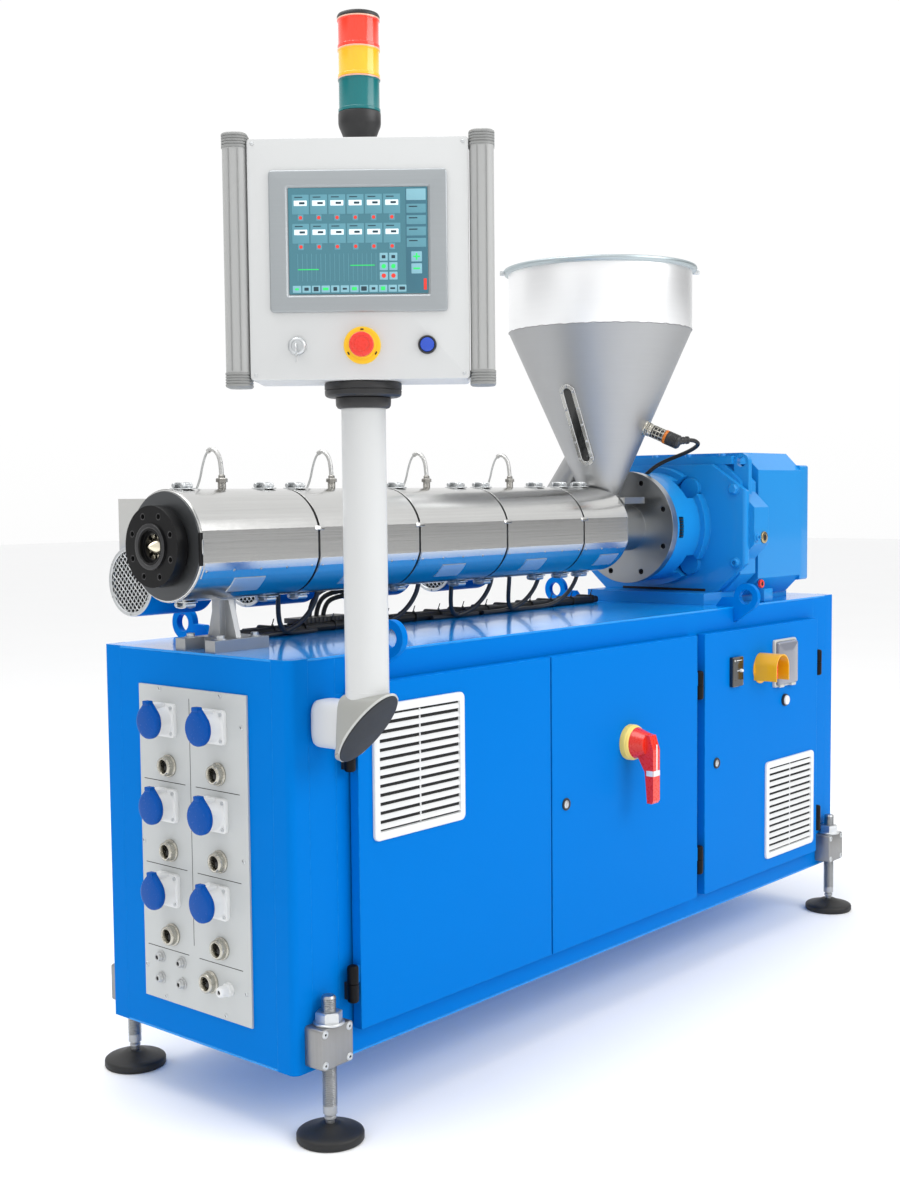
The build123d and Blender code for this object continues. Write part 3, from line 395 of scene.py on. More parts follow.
    "blankPlate": ("stainless", dict(colour=(0.62, 0.64, 0.65), rough=0.3, metal=0.7, drift=0.06,
        driftScale=30, skin=900, bump=0.02, edgeWearAndHighlight=(0.8, 0.8, 0.8))),
    "darkSteel": ("black_steel", dict(colour=(0.05, 0.05, 0.052), rough=0.3, metal=0.6, drift=0.3,
        driftScale=40, skin=800, edgeWearAndHighlight=(0.25, 0.25, 0.25))),
    "rimSteel": ("stainless", dict(colour=(0.42, 0.48, 0.5), rough=0.35, metal=0.8, driftScale=12, skin=500,
        bump=0.04)),
    # hinges blacker than the other black plastic: partly their own black, partly painted shade of the door
    # gaps
    "hingeBlack": ("black_plastic", dict(colour=(0.003, 0.003, 0.004), rough=0.45, drift=0.2, driftScale=30,
        skin=1200, bump=0.08, edgeWearAndHighlight=(0.02, 0.02, 0.02), specular=0.15)),
    "lidBlue": ("blue_plastic", dict(colour=(0, 0.07, 0.34), rough=0.26, coat=0.04, driftScale=30, skin=900,
        bump=0.03, edgeWearAndHighlight=(0.02, 0.2, 0.62), specular=0.1)),
    "groundSteel": ("zinc", dict(colour=(0.29, 0.29, 0.288), rough=0.36, metal=0.9, drift=0.12,
        driftScale=14, bump=0.04, stretch=(260, 260, 8), streak=0.14, edgeWearAndHighlight=(0.8, 0.8, 0.8))),
    "weldGrey": ("stainless", dict(colour=(0.3, 0.3, 0.3), rough=0.45, metal=1, drift=0.5, driftScale=90,
        skin=250, bump=0.3)),
    "sightGlass": ("black_plastic", dict(colour=(0.01, 0.011, 0.012), rough=0.08, coat=0.6, drift=0.3,
        driftScale=20, skin=300, bump=0.01, round=0.0)),
    "orangePlastic": ("amber_plastic", dict(colour=(0.62, 0.16, 0.01), rough=0.3, drift=0.1, driftScale=50,
        skin=900)),
    # smoky window: pale edges mixed in almost fully, painted highlights along its rims
    "smokeWindow": ("grey_metal", dict(colour=(0.2, 0.21, 0.25), rough=0.14, coat=0.6, drift=0.15,
        driftScale=10, skin=300, bump=0.03, edgeWearAndHighlight=(0.65, 0.67, 0.7), edgeWearAndHighlightAmount=0.9)),
    "paleYellow": ("yellow_plastic", dict(colour=(0.86, 0.66, 0.16), rough=0.36, drift=0.05, driftScale=25,
        skin=900, edgeWearAndHighlight=(0.95, 0.8, 0.4))),
    "braid": ("stainless", dict(colour=(0.55, 0.55, 0.54), rough=0.34, metal=1, drift=0.5, driftScale=260,
        skin=1300, bump=0.5, round=0.0)),
    "dullBlack": ("black_plastic", dict(colour=(0.006, 0.006, 0.006), rough=0.8, drift=0.3, driftScale=30,
        skin=600)),
}
finishes = {name: makeFinish(name, **look) for name, (slot, look) in looks.items()}

nodeFinish = {
    "bluePaint": ["cabinet_back_wall", "cabinet_front_end", "cabinet_rear_end", "door_1", "door_2",
        "door_3", "door_posts", "door_rails", "lifting_lugs", "blowers"],
    "gearBlue": ["gearbox_base", "gearbox_case", "gearbox_rear"],
    "flangeSteel": ["feed_housing"],
    "screwSteel": ["screw"],
    "topBluePaintedLight": ["cabinet_plates"],
    "endSteel": ["barrel_end_plate"],
    "boxGrey": ["zone_boxes"],
    "stainless": ["zone_covers", "thermocouples", "sight_window"],
    "hopperSteel": ["hopper"],
    "machinedSteel": ["barrel"],
    "zincPlate": ["foot_blocks"],
    "supportSteel": ["barrel_support"],
    "studSteel": ["foot_spindles"],
    "blackSteel": ["die_flange"],
    "blackPlastic": ["zone_seams", "swivel_base", "swivel_head", "tower_black", "door_hinges",
        "level_sensor", "door_gauges", "pendant_switches"],
    "blackRubber": ["cable_loom", "foot_pads"],
    "greyPaint": ["pendant_box", "arm_tube"],
    "plateGrey": ["socket_plate"],
    "elbowGrey": ["arm_elbow"],
    "whitePlastic": ["vent_grille_1", "vent_grille_3", "socket_bodies"],
    "bluePlastic": ["socket_lids"],
    "yellowPlastic": ["switch_disc", "knob_guard", "stop_ring"],
    "redPlastic": ["switch_handle", "guard_knob", "stop_button"],
    "amberLens": ["tower_amber"],
    "greenLens": ["tower_green"],
    "redLens": ["tower_red"],
    "screenGlass": ["screen"],
    "greyMetal": ["round_connectors", "cable_glands", "pendant_grips", "screen_bezel"],
}
for finish, names in nodeFinish.items():
    for name in names:
        cad[name].data.materials.clear()
        cad[name].data.materials.append(finishes[finish])
print("finishes on", sum(len(v) for v in nodeFinish.values()), "solids")


# the way out on the door side, the way up and the way to the die end
outward, upward, toDie = (0, -1, 0), (0, 0, 1), (-1, 0, 0)


# Shapes: each gives points in mm and faces, worked out as whole arrays
def squareTo(direction):
    # two unit vectors square to a direction and to each other
    ahead = np.asarray(direction, float)
    ahead = ahead / np.linalg.norm(ahead)
    helper = np.array([0.0, 0.0, 1.0]) if abs(ahead[2]) < 0.9 else np.array([1.0, 0.0, 0.0])
    side = np.cross(helper, ahead)
    side = side / np.linalg.norm(side)
    return side, np.cross(ahead, side), ahead


def skin(rings, startCap=True, endCap=True):
    # neighbouring rings joined by quads, ends shut by one face each
    rings = np.asarray(rings, float)
    rows, count = rings.shape[:2]
    i, j = np.meshgrid(np.arange(rows - 1), np.arange(count), indexing="ij")
    k = (j + 1) % count
    quads = np.stack([i * count + j, i * count + k, (i + 1) * count + k, (i + 1) * count + j], -1)
    faces = quads.reshape(-1, 4).tolist()
    if startCap:
        faces.append(list(range(count - 1, -1, -1)))
    if endCap:
        faces.append(list(range((rows - 1) * count, rows * count)))
    return rings.reshape(-1, 3), faces


def turned(profile, centre, direction, count=40, startCap=True, endCap=True):
    # a profile of (height, radius) pairs spun round a direction
    side, up, ahead = squareTo(direction)
    height, radius = np.asarray(profile, float).T
    angle = np.linspace(0, 2 * np.pi, count, endpoint=False)
    circle = np.cos(angle)[:, None] * side + np.sin(angle)[:, None] * up
    rings = np.asarray(centre, float) + height[:, None, None] * ahead + radius[:, None, None] * circle[None]
    return skin(rings, startCap, endCap)


def roundRect(width, height, radius, steps=4):
    # points of a rectangle with quarter-circle corners, anticlockwise
    r = max(min(radius, width / 2 - 0.001, height / 2 - 0.001), 0.001)
    a = np.linspace(0, np.pi / 2, steps + 1)
    quarter = r * np.stack([np.cos(a), np.sin(a)], -1)
    corners = []
    for k, (sx, sy) in enumerate(((1, 1), (-1, 1), (-1, -1), (1, -1))):
        c, s = math.cos(k * math.pi / 2), math.sin(k * math.pi / 2)
        corners.append(quarter @ np.array([[c, s], [-s, c]]) + [sx * (width / 2 - r),
            sy * (height / 2 - r)])
    return np.concatenate(corners)


def stacked(outline, levels, centre, normal, up):
    # an outline that depends on its inset, carried along a normal through (height, inset) levels
    ahead = np.asarray(normal, float) / np.linalg.norm(normal)
    upward = np.asarray(up, float) - ahead * np.dot(up, ahead)
    upward = upward / np.linalg.norm(upward)
    right = np.cross(upward, ahead)
    rings = []
    for height, inset in levels:
        flat = outline(inset)
        rings.append(np.asarray(centre, float) + flat[:, :1] * right + flat[:, 1:] * upward
            + height * ahead)
    return skin(rings)


def slab(centre, normal, up, width, height, depth, radius=1.0, edge=0.6, steps=4):
    # a plate with rounded corners and a rounded front edge
    levels = [(0, 0), (depth - edge, 0), (depth - 0.3 * edge, 0.3 * edge), (depth, edge)]
    return stacked(lambda i: roundRect(width - 2 * i, height - 2 * i, radius - i, steps), levels, centre,
        normal, up)


def nested(centre, normal, up, sizes, caps=(True, False), steps=6):
    # rounded rectangles of changing size joined into one pressed frame: (width, height, radius, rise)
    ahead = np.asarray(normal, float)
    right = np.cross(np.asarray(up, float), ahead)
    rings = []
    for wide, tall, r, rise in sizes:
        flat = roundRect(wide, tall, r, steps)
        rings.append(np.asarray(centre, float) + flat[:, :1] * right + flat[:, 1:] * np.asarray(up, float)
            + rise * ahead)
    return skin(rings, *caps)


def tubeAlong(points, radius, count=8):
    # a circle carried along a path, its frame turned as little as possible
    path = np.asarray(points, float)
    ahead = np.gradient(path, axis=0)
    ahead = ahead / np.linalg.norm(ahead, axis=1)[:, None]
    side = squareTo(ahead[0])[0]
    angle = np.linspace(0, 2 * np.pi, count, endpoint=False)
    rings = []
    for spot, way in zip(path, ahead):
        side = side - way * np.dot(side, way)
        side = side / np.linalg.norm(side)
        rings.append(spot + radius * (np.cos(angle)[:, None] * side
            + np.sin(angle)[:, None] * np.cross(way, side)))
    return skin(rings)


def hoop(centre, direction, radius, wire, count=40, wireCount=8):
    # a round wire bent to a ring: one circle carried round another
    side, up, ahead = squareTo(direction)
    a = np.linspace(0, 2 * np.pi, count, endpoint=False)
    b = np.linspace(0, 2 * np.pi, wireCount, endpoint=False)
    out = np.cos(a)[:, None] * side + np.sin(a)[:, None] * up
    rings = (np.asarray(centre, float) + (radius + wire * np.cos(b))[None, :, None] * out[:, None]
        + wire * np.sin(b)[None, :, None] * ahead)
    points, faces = skin(np.concatenate([rings, rings[:1]]), False, False)
    last = count * wireCount
    faces = [[i - last if i >= last else i for i in f] for f in faces]
    return points[:last], [f[::-1] for f in faces]


def hexHead(centre, direction, across, height):
    # six-sided head with a chamfered top
    r = across / math.sqrt(3)
    return turned([(0, r), (height * 0.8, r), (height, r * 0.86)], centre, direction, 6)


def capScrew(centre, direction, radius, height):
    # round head with a sunk socket
    return turned([(0, radius), (height * 0.85, radius), (height, radius * 0.9), (height, radius * 0.52),
        (height * 0.35, radius * 0.48)], centre, direction, 12)


def domeHead(centre, direction, radius, height):
    return turned([(0, radius), (height * 0.55, radius * 0.86), (height * 0.9, radius * 0.5),
        (height, radius * 0.15)], centre, direction, 8)


def makePiece(name, shapes, finish, body="machine", stands=(), angle=35.0):
    starts = np.cumsum([0] + [len(points) for points, faces in shapes])
    points = toMetres(np.concatenate([points for points, faces in shapes]))
    faces = [[i + start for i in face] for shape, start in zip(shapes, starts) for face in shape[1]]
    mesh = bpy.data.meshes.new(name)
    mesh.from_pydata(points.tolist(), [], faces)
    mesh.polygons.foreach_set("use_smooth", np.ones(len(faces), bool))
    mesh.set_sharp_from_angle(angle=math.radians(angle))
    mesh.materials.append(finishes[finish])
    piece = bpy.data.objects.new(name, mesh)
    bpy.context.scene.collection.objects.link(piece)
    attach(piece, body)
    if stands:
        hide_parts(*stands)


# Pendant: built facing the door side about the tube, then turned to the operator
pendant = {"axis": (72.0, -116.0), "base": 1314.0, "yaw": -50.0, "wide": 356.0, "deep": 130.0,
    "tall": 386.0, "gripWide": 42.0, "gripDeep": 60.0, "capTall": 24.0, "bezelWide": 286.0,
    "bezelTall": 225.0, "screenWide": 223.0, "screenTall": 168.0, "bezelMid": 221.0, "row": 55.0,
    "lenses": (("towerGreen", "tower_green", 52.5, 107.5, "greenLens"),
    ("towerAmber", "tower_amber", 107.5, 154.5, "amberLens"), ("towerRed", "tower_red", 154.5, 202.5,
    "redLens"))}


def onPendant(shape):
    a = math.radians(pendant["yaw"])
    turn = np.array([[math.cos(a), -math.sin(a), 0], [math.sin(a), math.cos(a), 0], [0, 0, 1]])
    return shape[0] @ turn.T + np.array([*pendant["axis"], pendant["base"]]), shape[1]


def pendantPiece(name, shapes, finish, stands=(), body="pendant"):
    makePiece(name, [onPendant(shape) for shape in shapes], finish, body, stands)


def makePendant(s):
    front = -s["deep"] / 2
    facing, up = outward, upward
    mid = (0, 0, s["tall"] / 2)
    # shell: rounded box with a shut line behind its front panel
    levels = [(-65, 5), (-63.5, 1.5), (-60, 0), (55, 0), (55, 2.5), (57, 2.5), (57, 0), (62, 0),
        (64.3, 0.9), (65, 3)]
    shell = stacked(lambda i: roundRect(s["wide"] - 2 * i, s["tall"] - 2 * i, 7 - i), levels, mid, facing,
        up)
    pendantPiece("pendantShell", [shell], "greyPaint", ["pendant_box"])
    # grips: rounded bars with ribbed ends
    bars, caps, strips = [], [], []
    for side in (-1, 1):
        at = (side * (s["wide"] / 2 + s["gripWide"] / 2), front + 24, -10)
        outline = lambda i: roundRect(s["gripWide"] - 2 * i, s["gripDeep"] - 2 * i, 17 - i, 6)
        high = s["tall"] + 20
        bars.append(stacked(outline, [(s["capTall"], 1.2), (high - s["capTall"], 1.2)], at, up, (0, 1, 0)))
        ribs = [(0, 3), (1.5, 0.6), (3, 0)]
        for k in range(4):
            z = 5 + 4.4 * k
            ribs += [(z, 0), (z + 0.6, 1.3), (z + 1.6, 1.3), (z + 2.2, 0)]
        ribs += [(s["capTall"] - 0.4, 0), (s["capTall"], 0.6)]
        caps.append(stacked(outline, ribs, at, up, (0, 1, 0)))
        top = [(high - h, i) for h, i in ribs[::-1]]
        caps.append(stacked(outline, top, at, up, (0, 1, 0)))
        for dx in (-7.5, 7.5):
            strips.append(slab((at[0] + dx, front - 6 + 1.0, s["tall"] / 2), facing, up, 1.2, high - 52,
                0.8, 0.4, 0.2, 1))
    pendantPiece("pendantGrips", bars, "gripGrey", ["pendant_grips"])
    pendantPiece("gripCaps", caps, "gripCap")
    pendantPiece("gripLines", strips, "gripCap")
    # screen frame: outer edge, flat rim, then a bevel down to the glass
    w, h, sw, sh = s["bezelWide"], s["bezelTall"], s["screenWide"], s["screenTall"]
    sizesAt = [(w, h, 6, 0), (w, h, 6, 4.2), (w - 2, h - 2, 5, 5.4), (w - 5, h - 5, 4, 6),
        (sw + 9, sh + 9, 2, 6.2), (sw + 7, sh + 7, 2, 5.2), (sw - 0.5, sh - 0.5, 1, 3.4)]
    frame = nested((0, front, s["bezelMid"]), facing, up, sizesAt, (False, False), 4)
    pendantPiece("screenFrame", [frame], "bezelGrey", ["screen_bezel"])
    # picture on the screen: plain tiles, value boxes, dots, a chart and a row of keys
    glass = front - 5.0
    tiles, boxes, reds, greens, lines, keys, side = [], [], [], [], [], [], []

    def mark(kind, x, z, wide, tall, lift=0.25):
        kind.append(slab((x, glass, s["bezelMid"] + z), facing, up, wide, tall, lift, 0.6, 0.05, 1))

    left = -sw / 2 + 6
    for row in range(2):
        for col in range(6):
            x = left + 13.5 + col * 29.3
            z = 58 - row * 46
            mark(tiles, x, z, 27, 31)
            mark(boxes, x, z + 2, 21, 8.5, 0.4)
            mark(lines, x - 3, z + 11.5, 13, 1.6, 0.4)
            mark(lines, x + 2.5, z + 2, 9, 3.6, 0.5)
            mark(tiles, x, z - 21, 9, 10)
            reds.append(turned([(0, 2.9), (0.45, 2.9)], (x, glass, s["bezelMid"] + z - 21), facing, 12))
    for k in range(18):
        mark(tiles, left + 8 + k * 7.4, -42, 0.7, 44)
    for z, x0, x1 in ((-45, 8, 42), (-39, 92, 132)):
        mark(greens, left + (x0 + x1) / 2, z, x1 - x0, 1.4, 0.4)
    for k in range(6):
        z = -26 - 15 * (k // 2)
        x = left + 146 + 15.5 * (k % 2)
        mark(keys, x, z, 13, 12.5)
        if k < 2:
            mark(lines, x, z, 6, 5, 0.5)
        else:
            where = greens if k < 4 else reds
            where.append(turned([(0, 3.6), (0.5, 3.6)], (x, glass, s["bezelMid"] + z), facing, 12))
    for k in range(12):
        mark(keys, left + 6 + k * 15.4, -76, 13.4, 11)
        mark(lines if k % 3 else greens, left + 6 + k * 15.4, -76, 6 + (k * 5 % 4), 3 + (k * 7 % 5), 0.5)
    edge = sw / 2 - 18
    mark(side, edge, 0, 34, sh - 3)
    for k in range(4):
        mark(tiles, edge, 50 - 18 * k, 31, 14, 0.45)
        mark(lines, edge - 5, 53 - 18 * k, 14, 1.8, 0.6)
    for k in range(2):
        mark(keys, edge, -26 - 19 * k, 17, 16, 0.45)
        mark(greens, edge, -26 - 19 * k, 11, 2.6, 0.6)
    mark(greens, edge, -26, 2.6, 11, 0.65)
    mark(keys, edge, 72, 31, 18, 0.45)
    mark(reds, edge + 13.5, -70, 5, 18, 0.5)
    for name, kind, finish in (("screenTiles", tiles, "screenTile"), ("screenBoxes", boxes, "screenBox"),
            ("screenReds", reds, "screenRed"), ("screenGreens", greens, "screenGreen"),
            ("screenLines", lines, "screenDark"), ("screenKeys", keys, "screenKey"),
            ("screenSide", side, "screenSide")):
        pendantPiece(name, kind, finish)
    # stop button: mushroom head on a yellow disc
    z = s["row"]
    cap = turned([(5.8, 9), (14, 9), (14, 17), (15.5, 19.4), (18, 20), (23.5, 20), (26, 18.8), (27.4, 15.5),
        (27.6, 13.6), (26.9, 13.2), (26.7, 11.5), (27.5, 10.8), (28, 7), (28.1, 2)], (4, front - 0.5, z),
        facing, 48)
    pendantPiece("stopHead", [cap], "redPlastic", ["stop_button"], "stop_head")
    disc = turned([(0, 30), (2.6, 30), (3.6, 29.2), (4, 27.5), (4, 21.5), (5.6, 21), (6, 20), (6, 9.4),
        (0, 9.4)], (4, front, z), facing, 56, False, False)
    pendantPiece("stopDisc", [disc], "signalYellow", ["stop_ring"])
    notch = []
    for k in range(3):
        a = math.radians(90 + 120 * k)
        notch.append(slab((4 + 25.6 * math.cos(a), front - 3.9, z + 25.6 * math.sin(a)), facing,
            (math.cos(a), 0, math.sin(a)), 5.5, 2.4, 0.35, 0.6, 0.1, 1))
    pendantPiece("stopMarks", notch, "dullBlack")
    # key switch with its key, blue push button in a dark ring
    lock = turned([(0, 15), (3, 15), (5.5, 14.2), (7.5, 12.4), (8, 11), (8, 9.2), (6.6, 8.8), (6.6, 2)],
        (-101, front, z), facing, 40)
    keyBits = [slab((-101, front - 6.5, z), facing, up, 2.2, 8, 12, 0.6, 0.4, 2),
        turned([(0, 8), (0.6, 8.6), (2, 8.6), (2.6, 8)], (-102.3, front - 19, z - 5), (1, 0, 0), 20),
        slab((-102, front - 15, z - 17), facing, up, 2.2, 20, 2.4, 1, 0.6, 2),
        hoop((-101, front - 17, z - 11), (1, 0, 0.2), 6.0, 0.7, 20, 6)]
    pendantPiece("keySwitch", [lock] + keyBits, "zincPlate", ["pendant_switches"])
    collar = turned([(0, 15), (3.4, 15), (5.2, 14.4), (6, 13.2), (6, 12), (4, 11.6)], (109, front, z),
        facing, 40)
    pendantPiece("blueButtonRing", [collar], "blackPlastic")
    button = turned([(0, 11.4), (7, 11.4), (9, 10.6), (9.8, 8.5), (10, 4), (10, 0.5)], (109, front, z),
        facing, 36)
    pendantPiece("blueButton", [button], "buttonBlue")
    # screws at the panel corners
    heads = []
    for sx, sz in ((-1, -1), (-1, 1), (1, -1), (1, 1)):
        at = (sx * (s["wide"] / 2 - 9), front, mid[2] + sz * (s["tall"] / 2 - 9))
        heads.append(domeHead(at, facing, 3.2, 1.4))
    pendantPiece("panelScrews", heads, "zincPlate")
    # signal tower: lens rings with lips, clear joints, tapered foot and a rounded cap
    top = s["tall"]
    for name, node, low, high, finish in s["lenses"]:
        lens = turned([(low, 33.4), (low + 0.6, 34.6), (low + 5, 34.6), (low + 5.6, 33.6), (low + 7, 33.3),
            (high - 6, 33.3), (high - 4.6, 33.6), (high - 4, 34.6), (high - 0.4, 34.6), (high, 33.4)],
            (0, 0, top), up, 64)
        pendantPiece(name, [lens], finish, [node])
        joint = turned([(high - 2.6, 34.7), (high - 2.4, 35), (high - 0.4, 35), (high - 0.2, 34.7)],
            (0, 0, top), up, 64)
        pendantPiece(name + "Joint", [joint], "lensJoint")
    foot = turned([(0, 21), (1, 22), (4, 23.5), (14, 27.5), (24, 31.5), (30, 34), (35, 35), (50, 35),
        (52, 34.4), (52.5, 33)], (0, 0, top), up, 56)
    lid = turned([(202.5, 34.2), (203, 35), (206, 35), (209, 33.4), (210.4, 30), (211, 22), (211, 2)],
        (0, 0, top), up, 56)
    pendantPiece("towerEnds", [foot, lid], "blackPlastic", ["tower_black"])
    # swivel: rounded collar that turns on a narrower fixed seat
    collar = turned([(-24.7, 58), (-23.5, 61), (-21, 63.4), (-14, 64), (-13.6, 62.6), (-12.4, 62.6),
        (-12, 64), (-3, 64), (-1, 63), (0, 60)], (0, 0, 0), up, 64)
    pendantPiece("swivelCollar", [collar], "blackPlastic", ["swivel_head"])
    seat = turned([(-43, 40), (-42, 43), (-38, 45.5), (-32, 46), (-26, 46), (-25, 45)], (0, 0, 0), up, 56)
    pendantPiece("swivelSeat", [seat], "blackPlastic", ["swivel_base"], "machine")


makePendant(pendant)
print("pendant dressed")

# Arm: a soft square stub, the elbow that runs from it to an oval cut corner, a dark oval cover
arm = {"x": 72.0, "y": -116.0, "z": 735.0, "halfX": 46.0, "halfY": 55.0, "halfZ": 62.0, "backX": 42.0,
    "backY": -83.0, "backZ": 741.0, "backTall": 53.0, "backLean": -4.0, "stubX": 30.0, "stubZ": 42.0,
    "tube": 37.2}


def makeArm(s):
    slope = math.hypot(s["halfY"], s["halfZ"])
    out = (0, -s["halfZ"] / slope, -s["halfY"] / slope)
    along = (0, -s["halfY"] / slope, s["halfZ"] / slope)
    turn = np.linspace(0, 2 * np.pi, 72, endpoint=False)
    circle = np.stack([np.cos(turn), np.sin(turn)], -1)

    def oval(inset):
        return circle * (s["halfX"] - inset, slope - inset)

    def softSquare(power):
        return np.sign(circle) * np.abs(circle) ** power

    at = np.array([s["x"], s["y"], s["z"]])
    back = np.array([s["x"], s["backY"], s["backZ"]])
    rings = []
    for share, grow in [(-0.02, 0.94), (-0.01, 0.98)] + [(t, 1.0) for t in np.linspace(0, 1, 10)]:
        flat = grow * softSquare(0.42 + 0.58 * share ** 4)
        wide = s["backX"] + share * (s["halfX"] - s["backX"])
        tall = ((1 - share) * np.array([0, s["backLean"], s["backTall"]])
            + share * np.array([0, -s["halfY"], s["halfZ"]]))
        rings.append(back + share * (at - back) + flat[:, :1] * (wide, 0, 0) + flat[:, 1:] * tall)
    makePiece("elbowColumn", [skin(rings)], "elbowGrey", "machine", ["arm_elbow"])
    makePiece("elbowRim", [stacked(oval, [(-3, 1), (-2, -0.6), (0.6, -0.6), (1.2, 0.4)], at, out, along)],
        "rimGrey")
    makePiece("elbowCover", [stacked(oval, [(1, 2.0), (2.6, 2.0), (3.4, 2.8), (3.6, 4.0)], at, out, along)],
        "coverGrey")
    flat = softSquare(0.5) * (s["stubX"], s["stubZ"])
    rings = []
    for y, less in ((0.2, 14), (1.5, 9), (4, 5), (8, 2), (14, 0.4), (20, 0), (84, 0)):
        share = np.array([1 - less / s["stubX"], 1 - less / s["stubZ"]])
        spots = flat * share
        rings.append(np.column_stack([s["x"] + spots[:, 0], np.full(len(flat), -y),
            s["z"] + 1 + spots[:, 1]]))
    makePiece("armStub", [skin(rings)], "greyPaint")
    foot = turned([(772, s["tube"]), (800, s["tube"]), (800.4, s["tube"] - 0.6)], (s["x"], s["y"], 0),
        upward, 56)
    makePiece("tubeFoot", [foot], "greyPaint")


makeArm(arm)
print("arm dressed")

# Cords: each is one spline on the route of its solid
cordRoutes = {"axis": (255.0, 1041.0), "zones": (-50.0, 232.0, 514.0, 796.0), "thermo": 130.0, "leadR": 2.2,
    "cableR": 5.0, "lead": [(0, 0, 118), (0, 1, 146), (-1, 8, 166), (-3, 22, 176), (-5, 36, 168),
    (-7, 45, 146), (-9, 51, 118), (-12, 62, 94), (-14, 79, 78), (-14, 98, 72)], "leadLength": 0.201,
    "drops": ((252, 1), (360, -1), (662, -1), (769, 1), (911, -1), (974, 1), (1088, -1), (1244, -1)),
    "drop": [(0, 40, -88), (1, 42, -108), (5, 47, -128), (14, 56, -150), (30, 68, -170), (54, 80, -183),
    (84, 88, -187.2), (116, 91.5, -187.6), (150, 92, -187.7)], "dropLength": 0.221,
    "hoseFoot": (434.0, 866.2), "hoseEnd": 562.0, "hoseLengths": (0.1638, 0.1374, 0.1109),
    "sensorFoot": (1311.846, 143.94, 1281.0), "sensorWay": (0.25169, -0.87776, -0.40765), "plug": 80.0,
    "boot": (40.0, -16.0, 3.5), "nose": 1411.0, "sensorLength": 0.266,
    "sensor": [(-6, -198, 205), (13, -187, 200), (26, -167, 192), (38, -139, 183.5), (44, -105, 174),
    (42, -70, 162), (33, -44, 147), (26, -24, 127)]}


def makeCord(name, points, radius, finish, stands=()):
    curve = bpy.data.curves.new(name, "CURVE")
    curve.dimensions = "3D"
    curve.resolution_u = 10
    curve.bevel_depth = radius / 1000.0
    curve.bevel_resolution = 3
    curve.use_fill_caps = True
    line = curve.splines.new("NURBS")
    line.points.add(len(points) - 1)
    places = np.hstack([toMetres(points), np.ones((len(points), 1))])
    line.points.foreach_set("co", places.ravel())
    line.order_u = 3
    line.use_endpoint_u = True
    curve.materials.append(finishes[finish])
    piece = bpy.data.objects.new(name, curve)
    bpy.context.scene.collection.objects.link(piece)
    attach(piece, "machine")
    if stands:
        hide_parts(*stands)


def makeCords(s):
    y, z = s["axis"]
    for k, x in enumerate(s["zones"]):
        lead = np.array(s["lead"], float) + (x + s["thermo"], y, z)
        makeCord("thermoLead%d" % (k + 1), lead, s["leadR"], "greyMetal",
            ["thermocouples"])
    for k, (x, way) in enumerate(s["drops"]):
        drop = np.array(s["drop"], float) * (way, 1, 1) + (x, y, z)
        makeCord("zoneDrop%d" % (k + 1), drop, s["cableR"], "cableGrey",
            ["cable_loom"])
    for k, length in enumerate(s["hoseLengths"]):
        x, low = s["hoseFoot"][0] + 20 * k, s["hoseFoot"][1]
        high = low + 70 - 11 * k
        hose = [(x, 400, low + 4), (x + 1, 400, low + 22 - 3 * k), (x + 17 - 2 * k, 401, high - 18 + 3 * k),
            (x + 50 - 9 * k, 402, high - 4), (x + 100 - 15 * k, 403, high), (s["hoseEnd"], 404, high)]
        makeCord("stripHose%d" % (k + 1), hose, s["cableR"], "blackRubber",
            ["cable_loom"])
    plug = np.array(s["sensorFoot"]) + s["plug"] * np.array(s["sensorWay"])
    boot = np.array(s["boot"])
    far = np.array(s["sensor"], float) + (s["nose"], y, z)
    path = np.vstack([plug + 0.5 * boot, plug + 1.15 * boot, far])
    makeCord("sensorLead", path, s["cableR"], "blackRubber",
        ["level_sensor"])


makeCords(cordRoutes)
print("cords laid")

# Barrel line: sizes along the zones, covers are round with a flat on each side
barrel = {"y": 255.0, "z": 1041.0, "zones": (-50.0, 232.0, 514.0, 796.0, 1078.0), "end": 1256.0,
    "round": 101.0, "rivetStep": 63.5, "hoseShare": 0.40, "dieFace": -88.0, "dieHoles": (-84.8, 57.0),
    "thermo": 130.0, "blower": (40.0, 158.0, -70.0), "inlet": 57.2, "mesh": 8.6, "loomEnd": 1406.0,
    "cables": ((170, -19, 8.8), (190, -1, 7.6), (250, 16, 8.2)), "ties": (296, 1400, 84),
    "support": (79.0, 870.0), "supportBolts": ((-45, -42), (-45, 42), (38, -40), (38, 40)),
    "clips": (-12, 183, 264, 461, 546, 739, 824, 1017, 1111, 1189)}


def arcBar(x0, x1, low, high, inner, outer, steps=8):
    # a bent strip: an arc of the cover carried along the barrel
    a = np.radians(np.linspace(low, high, steps + 1))
    r = np.concatenate([np.full(steps + 1, outer), np.full(steps + 1, inner)])
    a = np.concatenate([a, a[::-1]])
    flat = np.stack([barrel["y"] + r * np.cos(a), barrel["z"] + r * np.sin(a)], -1)
    return skin([np.column_stack([np.full(len(flat), x), flat]) for x in (x0, x1)])


def onCover(x, degrees, out):
    a = math.radians(degrees)
    return np.array([x, barrel["y"] + out * math.cos(a), barrel["z"] + out * math.sin(a)])


def around(degrees):
    # the way out of the barrel's axis at an angle and the way round it there
    a = math.radians(degrees)
    return np.array([0, math.cos(a), math.sin(a)]), np.array([0, -math.sin(a), math.cos(a)])


